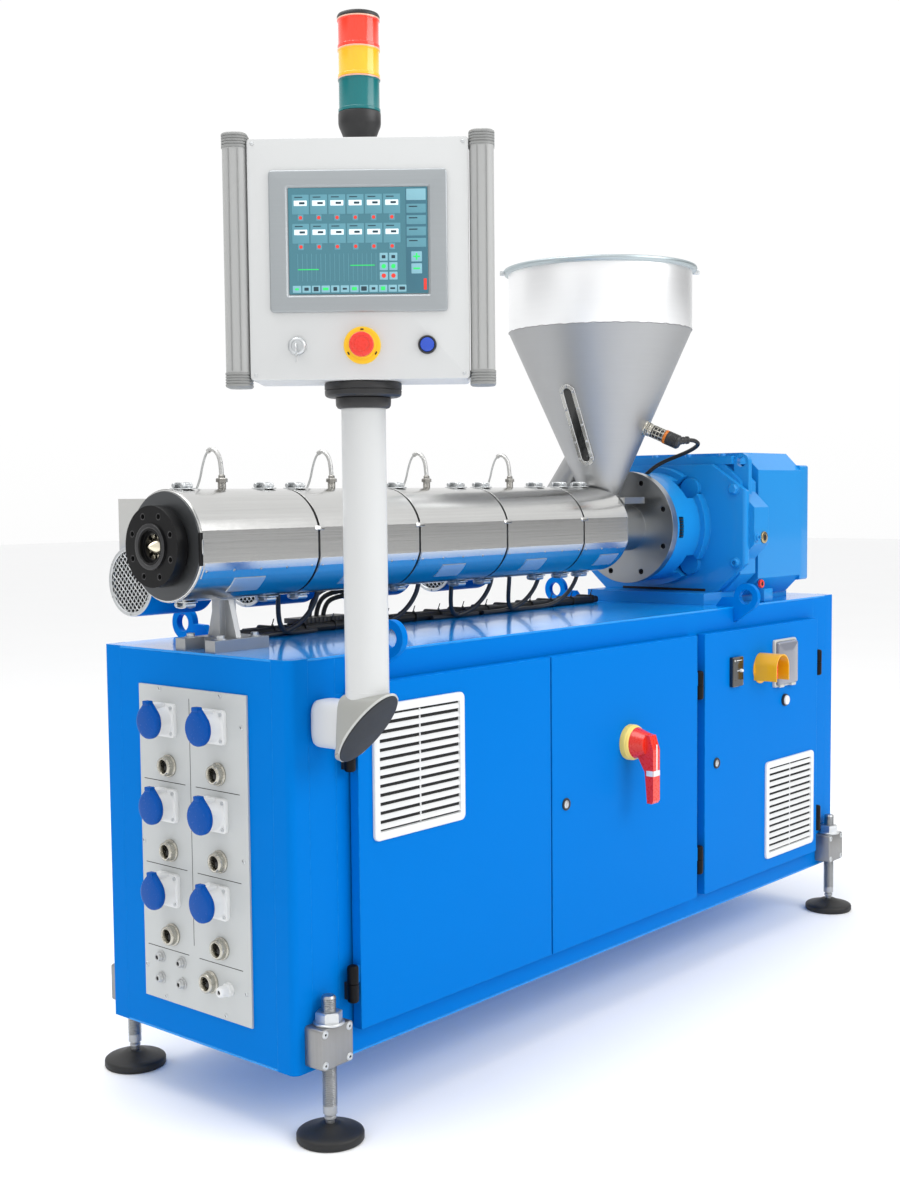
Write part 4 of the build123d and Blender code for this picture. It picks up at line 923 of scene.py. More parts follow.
def makeBarrel(s):
    strips, rivets, plates, tabs, clips, clipDark = [], [], [], [], [], []
    starts = list(s["zones"]) + [s["end"]]
    for x0, x1 in zip(starts, starts[1:]):
        strips.append(arcBar(x0 + 5, x1 - 5, 196.4, 214.0, 99.5, 102.4, 2))
        strips.append(arcBar(x0 + 5, x1 - 5, 326.0, 343.6, 99.5, 102.4, 2))
        plates.append(arcBar(x0 + 85, x0 + 159, 215.5, 236, 99.5, 101.9, 6))
        rows = np.arange(x0 + 12, x1 - 6, s["rivetStep"])
        spots = [(x, turn, 102.0, 2.6, 1.7) for x in rows for turn in (205.2, 334.8)]
        spots += [(x, turn, 101.8, 1.5, 0.8) for x in (x0 + 88.5, x0 + 155.5) for turn in (217.2, 234.4)]
        for x, turn, out, radius, height in spots:
            rivets.append(domeHead(onCover(x, turn, out), around(turn)[0], radius, height))
        if x1 < s["end"]:
            for turn in (164.6, 15.4):
                tabs.append(slab(onCover(x1, turn, 99.8), *around(turn), 24, 9, 2.6, 2, 0.6, 2))
    for x in s["clips"]:
        for turn in (90, 270):
            out, along = around(turn)
            base = onCover(x, turn, s["round"] - 0.4)
            clips.append(slab(base, out, along, 26, 44, 2.0, 3, 0.6, 2))
            for b, c, r in ((-12, 6.4, 4.6), (12, 6.0, 4.0)):
                clips.append(turned([(-12, 1), (-12, r - 0.6), (-11.4, r), (11.4, r), (12, r - 0.6),
                    (12, 1)], base + along * b + out * c, (1, 0, 0), 12))
            clips.append(slab(base + along * 1 + out * 8, out, along, 15, 30, 2.4, 4, 1.0, 3))
            for side in (-9.5, 9.5):
                bow = np.linspace(-12, 14, 7)
                rise = 9.6 + 1.6 * np.cos(bow / 8.5)
                path = base + np.array([side, 0, 0]) + bow[:, None] * along + rise[:, None] * out
                clips.append(tubeAlong(path, 1.6, 6))
            for b in (-18, 19):
                clipDark.append(domeHead(base + along * b + out * 1.8, out, 3.2, 1.6))
    # rolled lip round the die end and the dark joint beside it
    lips = [hoop((-50.5, s["y"], s["z"]), (1, 0, 0), 97.6, 2.2, 72, 8)]
    joints = [slab((-53, s["y"] - 94.5, s["z"] - 4), (0, -1, 0), (0, 0, 1), 7, 58, 4.2, 1, 0.5, 2)]
    makePiece("coverStrips", strips, "stainless", angle=3.0)
    makePiece("coverRivets", rivets, "machinedSteel")
    makePiece("coverPlates", plates, "blankPlate")
    makePiece("seamTabs", tabs, "stainless")
    makePiece("coverClips", clips, "zincPlate")
    makePiece("clipRivets", clipDark, "machinedSteel")
    makePiece("endLip", lips, "stainless")
    makePiece("endJoint", joints, "blackSteel")
    # die: sunk bore ring with a pale machined face
    face = turned([(-0.2, 40.6), (0.9, 40.6), (1.2, 39.8), (1.2, 34), (0.4, 33), (-3, 30.4)],
        (s["dieFace"], s["y"], s["z"]), toDie, 64, False, False)
    makePiece("dieFace", [face], "darkSteel")
    sockets = []
    for k in range(8):
        at = onCover(s["dieHoles"][0], 22.5 + 45 * k, s["dieHoles"][1])
        sockets.append(turned([(-9, 0.5), (-9, 4.9), (0.1, 4.9), (0.6, 6.0), (0.2, 6.4)], at, toDie, 16,
            True, False))
    makePiece("dieHoles", sockets, "darkSteel")
    # thermocouple bodies: socket, hex and knurled sleeve under a braided hose
    stems, hoses = [], []
    for x in s["zones"][:4]:
        foot = (x + s["thermo"], s["y"], s["z"])
        ridged = [(99, 11), (100, 11), (101, 7.2)]
        for k in range(5):
            ridged += [(102 + 2.2 * k, 7.2), (103 + 2.2 * k, 7.9)]
        stems.append(turned(ridged + [(113, 7.4)], foot, upward, 24))
        stems.append(hexHead((foot[0], foot[1], foot[2] + 113), upward, 19, 7.5))
        stems.append(turned([(120, 6.4), (125, 6.4), (126.5, 5.2)], foot, upward, 24))
    makePiece("thermoBodies", stems, "thermoSteel", "machine", ["thermocouples"])
    for k in range(4):
        route = bpy.data.objects["thermoLead%d" % (k + 1)].data.copy()
        route.bevel_depth = 0.0
        bare = bpy.data.objects.new("routeOnly", route)
        spine = bpy.data.meshes.new_from_object(bare)
        spots = np.empty(len(spine.vertices) * 3)
        spine.vertices.foreach_get("co", spots)
        spots = (spots.reshape(-1, 3) - corner) * 1000.0
        bpy.data.objects.remove(bare)
        bpy.data.meshes.remove(spine)
        bpy.data.curves.remove(route)
        last = int(len(spots) * s["hoseShare"])
        hoses.append(tubeAlong(spots[:last], 4.4, 12))
        tip = spots[last - 1]
        way = tip - spots[last - 3]
        hoses.append(turned([(-2, 4.6), (1, 4.6), (2, 4.0), (2.4, 2.4)], tip, way, 14))
    makePiece("thermoHoses", hoses, "braid")
    # blower inlets: woven wire over a dull black disc of painted shade, framed by a zinc ring with screws
    wires, rings, backs, screws = [], [], [], []
    for x in s["zones"][:4]:
        hub = np.array([x, s["y"], s["z"]]) + s["blower"]
        rings.append(turned([(-6, 65.3), (1.2, 65.3), (2.2, 64.4), (2.2, 58.5), (1.2, 57.4),
            (-5, s["inlet"])], hub, toDie, 64, False, False))
        # dull black disc behind the mesh: painted shade inside the inlet
        backs.append(turned([(-5.6, 57), (-5.2, 57), (-5.0, 1)], hub, toDie, 48))
        for tilt in (40, -50):
            c, d = math.cos(math.radians(tilt)), math.sin(math.radians(tilt))
            for k in range(-6, 7):
                off = k * s["mesh"]
                half = math.sqrt(max(s["inlet"] ** 2 - off ** 2, 4))
                t = np.linspace(-half, half, 2 + 2 * int(half / 6))
                wave = 0.9 * np.cos(t * np.pi / s["mesh"] + k * np.pi) * (1 if tilt > 0 else -1)
                path = hub + np.stack([-0.2 + wave, off * c - t * d, off * d + t * c], -1)
                wires.append(tubeAlong(path, 1.0, 5))
        for k in range(6):
            a = math.radians(30 + 60 * k)
            screws.append(domeHead(hub + (-2.2, 61.6 * math.cos(a), 61.6 * math.sin(a)), toDie, 2.6, 1.5))
    makePiece("blowerWires", wires, "zincPlate")
    makePiece("blowerRings", rings, "zincPlate")
    makePiece("blowerBacks", backs, "dullBlack")
    makePiece("blowerScrews", screws, "machinedSteel")
    # loom: a few wavy cables held by ties with cut tails, and a terminal strip on top
    cables, ties = [], []
    t = np.linspace(0, 1, 90)
    for k, (start, off, r) in enumerate(s["cables"]):
        x = start + (s["loomEnd"] - start) * t
        sway = 1.8 * np.sin(t * (17 + 3 * k) + k) + 0.9 * np.sin(t * (41 + 5 * k) + 2 * k)
        rise = 0.6 * np.sin(t * (23 + 2 * k) + 1.7 * k)
        path = np.stack([x, 380 + off + sway, 848.6 + r + np.maximum(rise, 0)], -1)
        cables.append(tubeAlong(path, r, 10))
    for x in np.arange(*s["ties"]):
        flat = roundRect(56, 18, 8, 5)
        rings = []
        for dx, grow in ((-2.2, 0.4), (-2.2, 1.5), (2.2, 1.5), (2.2, 0.4)):
            scale = np.array([(28 + grow) / 28, (9 + grow) / 9])
            rings.append(np.column_stack([np.full(len(flat), x + dx), flat * scale + (379, 858.4)]))
        ties.append(skin(rings))
        ties.append(slab((x, 362, 866), (0, 0, 1), (0, 1, 0), 4.4, 4.0, 5.5, 0.8, 0.6, 2))
        ties.append(slab((x, 363, 870), (0, -0.4, 1), (0, 1, 0), 3.0, 1.1, 14, 0.4, 0.2, 1))
    makePiece("loomCables", cables, "blackRubber", "machine", ["cable_loom"])
    makePiece("loomTies", ties, "blackPlastic")
    strip = []
    for k in range(13):
        strip.append(slab((378 + 11.5 * k, 387, 866), upward, (0, 1, 0), 10.8, 48, 10.4, 1, 0.8, 2))
    makePiece("terminalStrip", strip, "blackPlastic")
    # support: bolts and washers on its foot
    bolts = []
    for dx, dy in s["supportBolts"]:
        at = (s["support"][0] + dx, s["y"] + dy, s["support"][1])
        bolts.append(turned([(0, 11), (1.6, 11), (2, 10.4)], at, upward, 20))
        bolts.append(hexHead((at[0], at[1], at[2] + 2), upward, 13, 6))
    makePiece("supportBolts", bolts, "zincPlate")


makeBarrel(barrel)
print("barrel line dressed")

# Hopper: rolled rim, lugs, weld bead, sight window on the cone and the level probe
hopper = {"x": 1280.0, "y": 255.0, "z": 1041.0, "neck": (45.0, 82.0), "drum": (220.0, 474.0),
    "rim": (229.0, 624.0), "windowTurn": -172.0, "windowMid": 247.5, "windowLong": 206.0,
    "windowWide": 41.0, "windowSlot": 20.0, "windowLean": 0.075}


def makeHopper(s):
    top = s["z"] + s["rim"][1]
    hub = (s["x"], s["y"], 0)
    bead = turned([(top - 12.5, 219.8), (top - 11.5, 225), (top - 11, 229.4), (top - 8, 231.8),
        (top - 4, 232.4), (top - 1, 231), (top + 0.6, 227.5), (top + 0.4, 222), (top - 1.5, 217.5),
        (top - 6, 216.2)], hub, (0, 0, 1), 120, False, False)
    makePiece("hopperRim", [bead], "rimSteel")
    foot = s["z"] + s["drum"][1]
    sheet = [(foot - 0.6, 220.0), (foot + 0.4, 220.5), (top - 11.5, 220.5)]
    makePiece("drumSheet", [turned(sheet, hub, upward, 120, False, False)], "drumSteel")
    lugs = []
    for turn in (132.0, -48.0):
        a = math.radians(turn)
        out = np.array([math.cos(a), math.sin(a), 0])
        side = np.array([-math.sin(a), math.cos(a), 0])
        at = np.array([s["x"], s["y"], top - 7]) + out * 229
        for k in (-5, 5):
            lugs.append(slab(at + side * k - out * 2, out, (0, 0, 1), 2.4, 13, 14, 1, 0.8, 2))
        lugs.append(turned([(-8, 0.4), (-8, 3.4), (-6.6, 3.4), (-6.4, 2), (6.4, 2), (6.6, 3.4), (8, 3.4),
            (8, 0.4)], at + out * 8.5, side, 12))
    makePiece("rimLugs", lugs, "zincPlate")
    # weld bead: a thin wire round the joint that wanders a little
    turn = np.linspace(0, 2 * np.pi, 240)
    wander = 0.5 * np.sin(turn * 31) + 0.4 * np.sin(turn * 53 + 1)
    ring = np.stack([s["x"] + (s["drum"][0] - 0.2) * np.cos(turn),
        s["y"] + (s["drum"][0] - 0.2) * np.sin(turn), s["z"] + s["drum"][1] + wander], -1)
    makePiece("hopperWeld", [tubeAlong(ring, 1.3, 6)], "weldGrey")
    # sight window: slotted frame along the cone's slope
    slope = math.atan2(s["drum"][0] - s["neck"][0], s["drum"][1] - s["neck"][1])
    a = math.radians(s["windowTurn"])
    out = np.array([math.cos(a) * math.cos(slope), math.sin(a) * math.cos(slope), -math.sin(slope)])
    rise = np.array([math.cos(a) * math.sin(slope), math.sin(a) * math.sin(slope), math.cos(slope)])
    side = np.array([-math.sin(a), math.cos(a), 0])
    rise = rise - s["windowLean"] * side
    rise = rise / np.linalg.norm(rise)
    r = s["neck"][0] + (s["windowMid"] - s["neck"][1]) * math.tan(slope)
    at = np.array([s["x"] + r * math.cos(a), s["y"] + r * math.sin(a), s["z"] + s["windowMid"]])
    w, h, cut = s["windowWide"], s["windowLong"], s["windowSlot"]
    right = np.cross(rise, out)
    steps = ((0, -3), (0, 3.2), (1.6, 4.0), (cut - 1.4, 4.0), (cut, 3.2), (cut, 1.0))
    frame = nested(at, out, rise, [(w - less, h - less, (w - less) / 2, y) for less, y in steps], steps=10)
    makePiece("sightFrame", [frame], "stainless", "machine", ["sight_window"])
    glass = stacked(lambda i: roundRect(w - cut + 1 - i, h - cut + 1 - i, (w - cut + 1 - i) / 2, 10),
        [(0.3, 0), (1.6, 0)], at, out, rise)
    makePiece("sightPane", [glass], "sightGlass")
    nuts = []
    for k in range(5):
        for e in (-1, 1):
            along = (k - 2) * (h - 38) / 4
            spot = at + right * e * (w / 2 - 5.0) + rise * along + out * 3.8
            nuts.append(hexHead(spot, out, 5.6, 2.8))
            nuts.append(turned([(2, 1.6), (5.6, 1.6), (6.0, 1.2)], spot, out, 8))
    for e in (-1, 1):
        nuts.append(hexHead(at + rise * e * (h / 2 - 5.0) + out * 3.8, out, 5.6, 2.8))
    makePiece("sightNuts", nuts, "machinedSteel")
    # level probe: steel nuts, slotted sleeve, orange ring, black plug and a boot to one side
    foot, way = np.array(cordRoutes["sensorFoot"]), np.array(cordRoutes["sensorWay"])
    nut = [turned([(-12, 20), (1, 20), (2, 19)], foot, way, 32), hexHead(foot + 2 * way, way, 32, 7),
        turned([(9, 16.4), (12, 16.4), (13, 15.4), (19, 15.4)], foot, way, 32),
        hexHead(foot + 13 * way, way, 29, 4.6)]
    makePiece("probeNuts", nut, "nickel", "machine", ["level_sensor"])
    sleeve = [(18, 14.6)]
    for k in range(6):
        sleeve += [(20 + 5.4 * k, 15.2), (22.4 + 5.4 * k, 15.2), (22.8 + 5.4 * k, 14.2),
            (25.0 + 5.4 * k, 14.2)]
    makePiece("probeSleeve", [turned(sleeve + [(52.6, 15.2)], foot, way, 32)], "blackPlastic")
    bars = []
    u, v = squareTo(way)[:2]
    for k in range(9):
        a = 2 * math.pi * k / 9
        out = math.cos(a) * u + math.sin(a) * v
        bars.append(slab(foot + way * 36 + 14.6 * out, out, way, 3.0, 31, 1.0, 0.8, 0.3, 1))
    for k in range(4):
        bars.append(turned([(22 + 8.6 * k, 15.0), (22.3 + 8.6 * k, 15.6), (23.5 + 8.6 * k, 15.6),
            (23.8 + 8.6 * k, 15.0)], foot, way, 32, False, False))
    makePiece("probeBars", bars, "nickel")
    makePiece("probeRing", [turned([(51, 15.2), (51.6, 17), (58, 17), (58.6, 15.6)], foot, way, 32)],
        "orangePlastic")
    plug = [(58, 16), (59, 17), (66, 17), (67, 16.2)]
    for k in range(5):
        plug += [(68 + 4 * k, 16.2), (68.6 + 4 * k, 17), (70.6 + 4 * k, 17), (71.2 + 4 * k, 16.2)]
    plug += [(89, 15.6), (91, 13.6), (91.6, 9)]
    at = foot + cordRoutes["plug"] * way
    boot = turned([(4, 10), (15, 9.6), (16.5, 8.4), (20, 8.4), (21, 9.0), (24, 9.0), (25, 8.2), (30, 8.0),
        (31, 9.4), (36, 9.2), (38, 6.2)], at, cordRoutes["boot"], 24)
    makePiece("probePlug", [turned(plug, foot, way, 32), boot], "blackPlastic")


makeHopper(hopper)
print("hopper dressed")

# Doors: louvred grilles, hinge sleeves, locks, switch marks, guard disc, meter, window and button
doors = {"face": -25.0, "vents": (("ventOne", 301.0, 631.0, 1), ("ventThree", 1716.0, 327.0, 3)),
    "ventSize": (250.0, 246.0), "ventIn": (222.0, 215.0), "slats": 13, "slatsTall": 212.0,
    "hinges": (125.5, 1288.0, 1880.5), "hingeY": -19.0, "hingeZ": (261.0, 676.0), "hingeR": 10.4,
    "locks": ((754.7, 482.0), (1357.0, 482.5)), "switch": (989.5, 582.0), "guard": (1566.0, 697.0),
    "meter": (1442.0, 694.0), "window": (1683.0, 695.0), "button": (1689.0, 598.0)}


def makeVent(s, name, x, z, body, node):
    (w, h), (iw, ih) = s["ventSize"], s["ventIn"]
    at = (x, s["face"], z)
    rim = nested(at, outward, upward, [(w, h, 12, 0), (w, h, 12, 4.2), (w - 1.2, h - 1.2, 11.4, 5.4),
        (w - 4, h - 4, 10, 6.2), (iw + 4, ih + 4, 4, 6.2), (iw, ih, 3, 5.6), (iw - 3, ih - 3, 2, 0.8)])
    blades = []
    step = s["slatsTall"] / s["slats"]
    for k in range(s["slats"]):
        zi = z - ih / 2 + step * (k + 0.5)
        edge = np.array([(-26.6, 6.4), (-30.0, -1.6), (-30.6, -2.6), (-30.3, -3.2), (-29.6, -3.0),
            (-26.2, 4.8)])
        edge = edge + (0, zi)
        ends = (x - iw / 2 + 0.6, x + iw / 2 - 0.6)
        blades.append(skin([np.column_stack([np.full(6, end), edge]) for end in ends]))
    rib = slab((x, s["face"] - 0.6, z), outward, upward, 3.0, ih - 4, 2.6, 0.6, 0.4, 2)
    makePiece(name, [rim, rib] + blades, "whitePlastic", body, [node])
    # dull black sheet behind the slats: painted shade inside the grille
    dark = slab((x, s["face"] - 0.4, z), outward, upward, iw - 2, ih - 2, 1.0, 2, 0.2, 2)
    makePiece(name + "Dark", [dark], "dullBlack", body)


def makeDoors(s):
    for name, x, z, k in s["vents"]:
        makeVent(s, name, x, z, "door_%d_leaf" % k, "vent_grille_%d" % k)
    r = s["hingeR"]
    lower = []
    for k, x in enumerate(s["hinges"]):
        upper = []
        for z in s["hingeZ"]:
            at = (x, s["hingeY"], z)
            lower.append(turned([(-34, 4), (-33.4, 7.4), (-31.6, 9.6), (-29, r), (-1.2, r),
                (-0.3, r - 0.8)], at, upward, 28))
            upper.append(turned([(0.3, r - 0.8), (1.2, r), (29, r), (31.6, 9.6), (33.4, 7.4), (34, 4)], at,
                upward, 28))
        makePiece("hingeCap%d" % (k + 1), upper, "hingeBlack", "door_%d_leaf" % (k + 1))
    makePiece("hingeSeats", lower, "hingeBlack")
    for k, (x, z) in zip((2, 3), s["locks"]):
        at = (x, s["face"], z)
        body = "door_%d_leaf" % k
        makePiece("lockRing%d" % k, [turned([(0, 13), (2.2, 13), (3.4, 12), (3.8, 9.6), (2, 9.0), (2, 1)],
            at, outward, 32)], "blackPlastic", body)
        makePiece("lockKey%d" % k, [turned([(1.6, 5.2), (4.2, 5.2), (4.8, 4.4)], at, outward, 3),
            turned([(1.9, 8.6), (2.5, 8.6), (2.8, 8)], at, outward, 24)], "zincPlate", body)
    # main switch: stepped disc, handle marks
    x, z = s["switch"]
    disc = turned([(0, 39), (12, 39), (13, 38.6), (13.4, 37.6), (18, 36.6), (19.6, 35), (20, 33), (20, 2)],
        (x, s["face"], z), outward, 64)
    makePiece("switchDisc", [disc], "paleYellow", "door_2_leaf", ["switch_disc"])
    marks = [slab((x + 1, -95.2, z - 28), outward, upward, 4.2, 58, 0.7, 1.5, 0.3, 3),
        slab((x, -95.2, z - 62), outward, upward, 25.4, 12, 1.0, 1.2, 0.4, 3)]
    for side in (-1, 1):
        marks.append(slab((x + side * 12.8, -86, z - 62), (side, 0, 0), upward, 17, 12, 0.7, 1.2, 0.3, 3))
    makePiece("handleMarks", marks, "whitePlastic", "switch_lever")
    # guard: round foot under the half-round hood
    x, z = s["guard"]
    foot = turned([(0, 36), (2.2, 36), (3, 35.2), (3, 15)], (x, s["face"], z - 8), outward, 48)
    makePiece("guardFoot", [foot], "yellowPlastic", "door_3_leaf")
    screws = []
    for c in (0.7, -0.7):
        screws.append(domeHead((x + 24 * c, s["face"] - 3, z - 8 + 24 * 0.7), outward, 2.6, 1.4))
    makePiece("guardScrews", screws, "zincPlate", "door_3_leaf")
    # meter: black housing with a lens, a pointer line and a pin
    x, z = s["meter"]
    at = (x, s["face"], z)
    body = nested(at, outward, upward, [(50, 72, 3, 0), (50, 72, 3, 8.6), (47, 69, 3, 10), (42, 40, 2, 10),
        (41, 39, 2, 9)], (True, True), 3)
    makePiece("meterBody", [body], "sightGlass", "door_3_leaf", ["door_gauges"])
    pins = [turned([(0, 4.2), (5, 4.0), (7, 3), (7.6, 1)], (x + 12, s["face"] - 9, z + 2), outward, 16),
        slab((x + 1, s["face"] - 9, z + 2), outward, upward, 12, 1.6, 0.6, 0.6, 0.2, 1),
        slab((x + 4, s["face"] - 9.6, z + 27), outward, upward, 26, 1.8, 0.6, 0.6, 0.2, 1),
        domeHead((x - 16, s["face"] - 9.6, z + 27), outward, 2.6, 1.2)]
    makePiece("meterPins", pins, "whitePlastic", "door_3_leaf")
    # window: clear smoky cover in a pale frame
    x, z = s["window"]
    at = (x, s["face"], z)
    rim = nested(at, outward, upward, [(112, 120, 6, 0), (112, 120, 6, 5), (110, 118, 6, 7),
        (104, 112, 5, 7.6), (101, 109, 4, 6.4)], (True, True), 4)
    makePiece("windowRim", [rim], "rimGrey", "door_3_leaf", ["door_gauges"])
    pane = nested(at, outward, upward, [(100, 108, 5, 6), (100, 108, 5, 12), (97, 105, 5, 14.8),
        (92, 100, 4, 16), (20, 40, 3, 16)], (False, True), 4)
    makePiece("windowPane", [pane], "smokeWindow", "door_3_leaf")
    clasps = []
    for dx in (30, -30):
        clasps.append(slab((x + dx, s["face"] - 7, z - 57), outward, upward, 22, 7, 7, 1.5, 0.8, 2))
    makePiece("windowClasps", clasps, "rimGrey", "door_3_leaf")
    x, z = s["button"]
    at = (x, s["face"], z)
    ring = turned([(0, 15.4), (4, 15.4), (6, 14.6), (6.6, 13), (5.4, 12.2)], at, outward, 40)
    makePiece("buttonRing", [ring], "blackPlastic", "door_3_leaf", ["door_gauges"])
    makePiece("buttonCap", [turned([(1, 12), (8, 12), (9.6, 11.2), (10, 9), (10, 1)], at, outward, 40)],
        "whitePlastic", "door_3_leaf")


makeDoors(doors)
print("doors dressed")

# Socket plate: lids, bodies, round connectors, glands, screws and engraved lines
sockets = {"face": -4.0, "columns": (189.0, 327.0), "rows": (719.0, 560.5, 402.0), "portDown": 85.0,
    "portSide": -6.0, "lastPort": (215.0, 249.0), "glands": ((356.0, 269.0), (295.0, 269.0), (356.0, 229.0),
    (295.0, 229.0)), "white": (164.0, 246.0), "lid": 31.0, "lidTop": 12.0, "lidUp": 27.0,
    "lines": (603.2, 444.5, 286.6), "screws": ((344, 775), (175, 775), (119, 723), (119, 485), (119, 246),
    (175, 195), (344, 195), (399, 246), (400, 484))}


def lidOutline(inset):
    # a large arc below and a small one above, joined by their common tangents
    big, small, up = sockets["lid"] - inset, sockets["lidTop"] - inset, sockets["lidUp"]
    lean = math.asin((big - small) / up)
    a = np.linspace(lean, math.pi - lean, 14)
    b = np.linspace(math.pi - lean, 2 * math.pi + lean, 40)
    return np.concatenate([np.stack([small * np.cos(a), up + small * np.sin(a)], -1),
        np.stack([big * np.cos(b), big * np.sin(b)], -1)])


def makeSockets(s):
    lids, bodies, screws, ports, bores, pins = [], [], [], [], [], []
    for y in s["columns"]:
        for z in s["rows"]:
            at = np.array([s["face"], y, z])
            lids.append(stacked(lidOutline, [(34.4, 1.6), (35, 0.4), (36, 0), (41, 0), (43.6, 0.9),
                (45.2, 2.8), (46, 6)], at, toDie, upward))
            lids.append(slab(at + (-36, 0, 35.5), toDie, upward, 17, 8, 11, 2, 1.2, 3))
            bodies.append(nested(at, toDie, upward, [(62, 62, 7, 0), (62, 62, 7, 6.4),
                (60.6, 60.6, 6.4, 7.6), (58, 58, 5, 8)], (True, True), 5))
            bodies.append(turned([(7.5, 29), (9, 27.4), (12, 26.6), (30, 25.6), (33.4, 25.6), (33.8, 25)],
                at, toDie, 48))
            bodies.append(slab(at + (-8, 0, 27), toDie, upward, 15, 11, 26, 2, 1, 3))
            for dy in (-24, 24):
                for dz in (-24, 24):
                    screws.append(capScrew(at + (-8, dy, dz), toDie, 3.6, 2.0))
    spots = [(y + s["portSide"], z - s["portDown"]) for y in s["columns"] for z in s["rows"]]
    for y, z in spots + [s["lastPort"]]:
        at = np.array([s["face"], y, z])
        ports.append(turned([(0, 21), (2.6, 21), (3.6, 20.2), (4, 18.6), (12.4, 18), (14.8, 17), (16, 15.2),
            (16, 13.4), (14.4, 12.2), (2, 11.6)], at, toDie, 48, True, False))
        # dull black disc in each bore: painted shade
        bores.append(turned([(1.5, 11.9), (3, 11.9), (3.2, 1)], at, toDie, 32))
        pins.append(slab(at + (-3, 0, -4), toDie, upward, 7, 9, 6, 2, 0.8, 3))
        for k in range(4):
            a = math.radians(45 + 90 * k)
            ports.append(domeHead(at + (-3.8, 19.4 * math.cos(a), 19.4 * math.sin(a)), toDie, 1.2, 0.6))
    glandRings, glandHoles = [], []
    for y, z in s["glands"]:
        at = np.array([s["face"], y, z])
        glandRings.append(turned([(0, 11.4), (1.6, 11.4), (2.2, 10.6)], at, toDie, 24))
        glandRings.append(hexHead(at + (-2, 0, 0), toDie, 17, 5))
        glandRings.append(turned([(6, 8), (9.5, 7.6), (11.4, 6.4), (12, 4.6), (10, 3.8)], at, toDie, 24,
            True, False))
        # dull black disc in the gland's opening: painted shade
        glandHoles.append(turned([(8, 4.4), (10.4, 4.2), (10.6, 0.6)], at, toDie, 16))
    y, z = s["white"]
    at = np.array([s["face"], y, z])
    whites = [turned([(0, 13), (2, 13), (2.6, 12)], at, toDie, 28),
        hexHead(at + (-2.4, 0, 0), toDie, 22, 7)]
    whites.append(turned([(9, 10.4), (12, 10.4), (20, 10.2), (24, 9), (26, 7), (26, 4.4), (23, 4)], at,
        toDie, 28, True, False))
    # dull black disc in the gland's opening: painted shade
    glandHoles.append(turned([(20, 4.6), (23.6, 4.4), (23.8, 0.6)], at, toDie, 16))
    lines = [slab((s["face"] + 0.2, 260, 535), toDie, upward, 1.3, 456, 0.4, 0.3, 0.1, 1)]
    for z in s["lines"]:
        for y in (334.5, 186):
            lines.append(slab((s["face"] + 0.2, y, z), toDie, upward, 119.5, 1.3, 0.4, 0.3, 0.1, 1))
    for y, z in s["screws"]:
        screws.append(domeHead((s["face"], y, z), toDie, 4.6, 1.8))
        # dull black strip across each screw head: painted shade of its slot
        lines.append(slab((s["face"] - 1.4, y, z), toDie, (0, 0.6, 0.8), 1.0, 5.4, 0.6, 0.3, 0.1, 1))
    makePiece("socketLids", lids, "lidBlue", "machine", ["socket_lids"])
    makePiece("socketBodies", bodies, "whitePlastic", "machine", ["socket_bodies"])
    makePiece("socketScrews", screws, "zincPlate")
    makePiece("portRings", ports, "nickel", "machine", ["round_connectors"])
    makePiece("portBores", bores, "dullBlack")
    makePiece("portPins", pins, "blackPlastic")
    makePiece("glandRings", glandRings, "greyMetal", "machine", ["cable_glands"])
    makePiece("glandWhite", whites, "whitePlastic")
    makePiece("glandHoles", glandHoles, "dullBlack")
    makePiece("plateLines", lines, "dullBlack")


makeSockets(sockets)
print("socket plate dressed")

# Feet: ground blocks with four screws, flanged nuts, threaded spindles
feet = {"x": (62.0, 1948.0), "y": (-21.0, 531.0), "wide": 77.0, "deep": 42.0, "low": 136.0, "high": 208.0,
    "stud": 13.0, "pitch": 3.2, "studTop": 258.0, "studLow": 62.0}


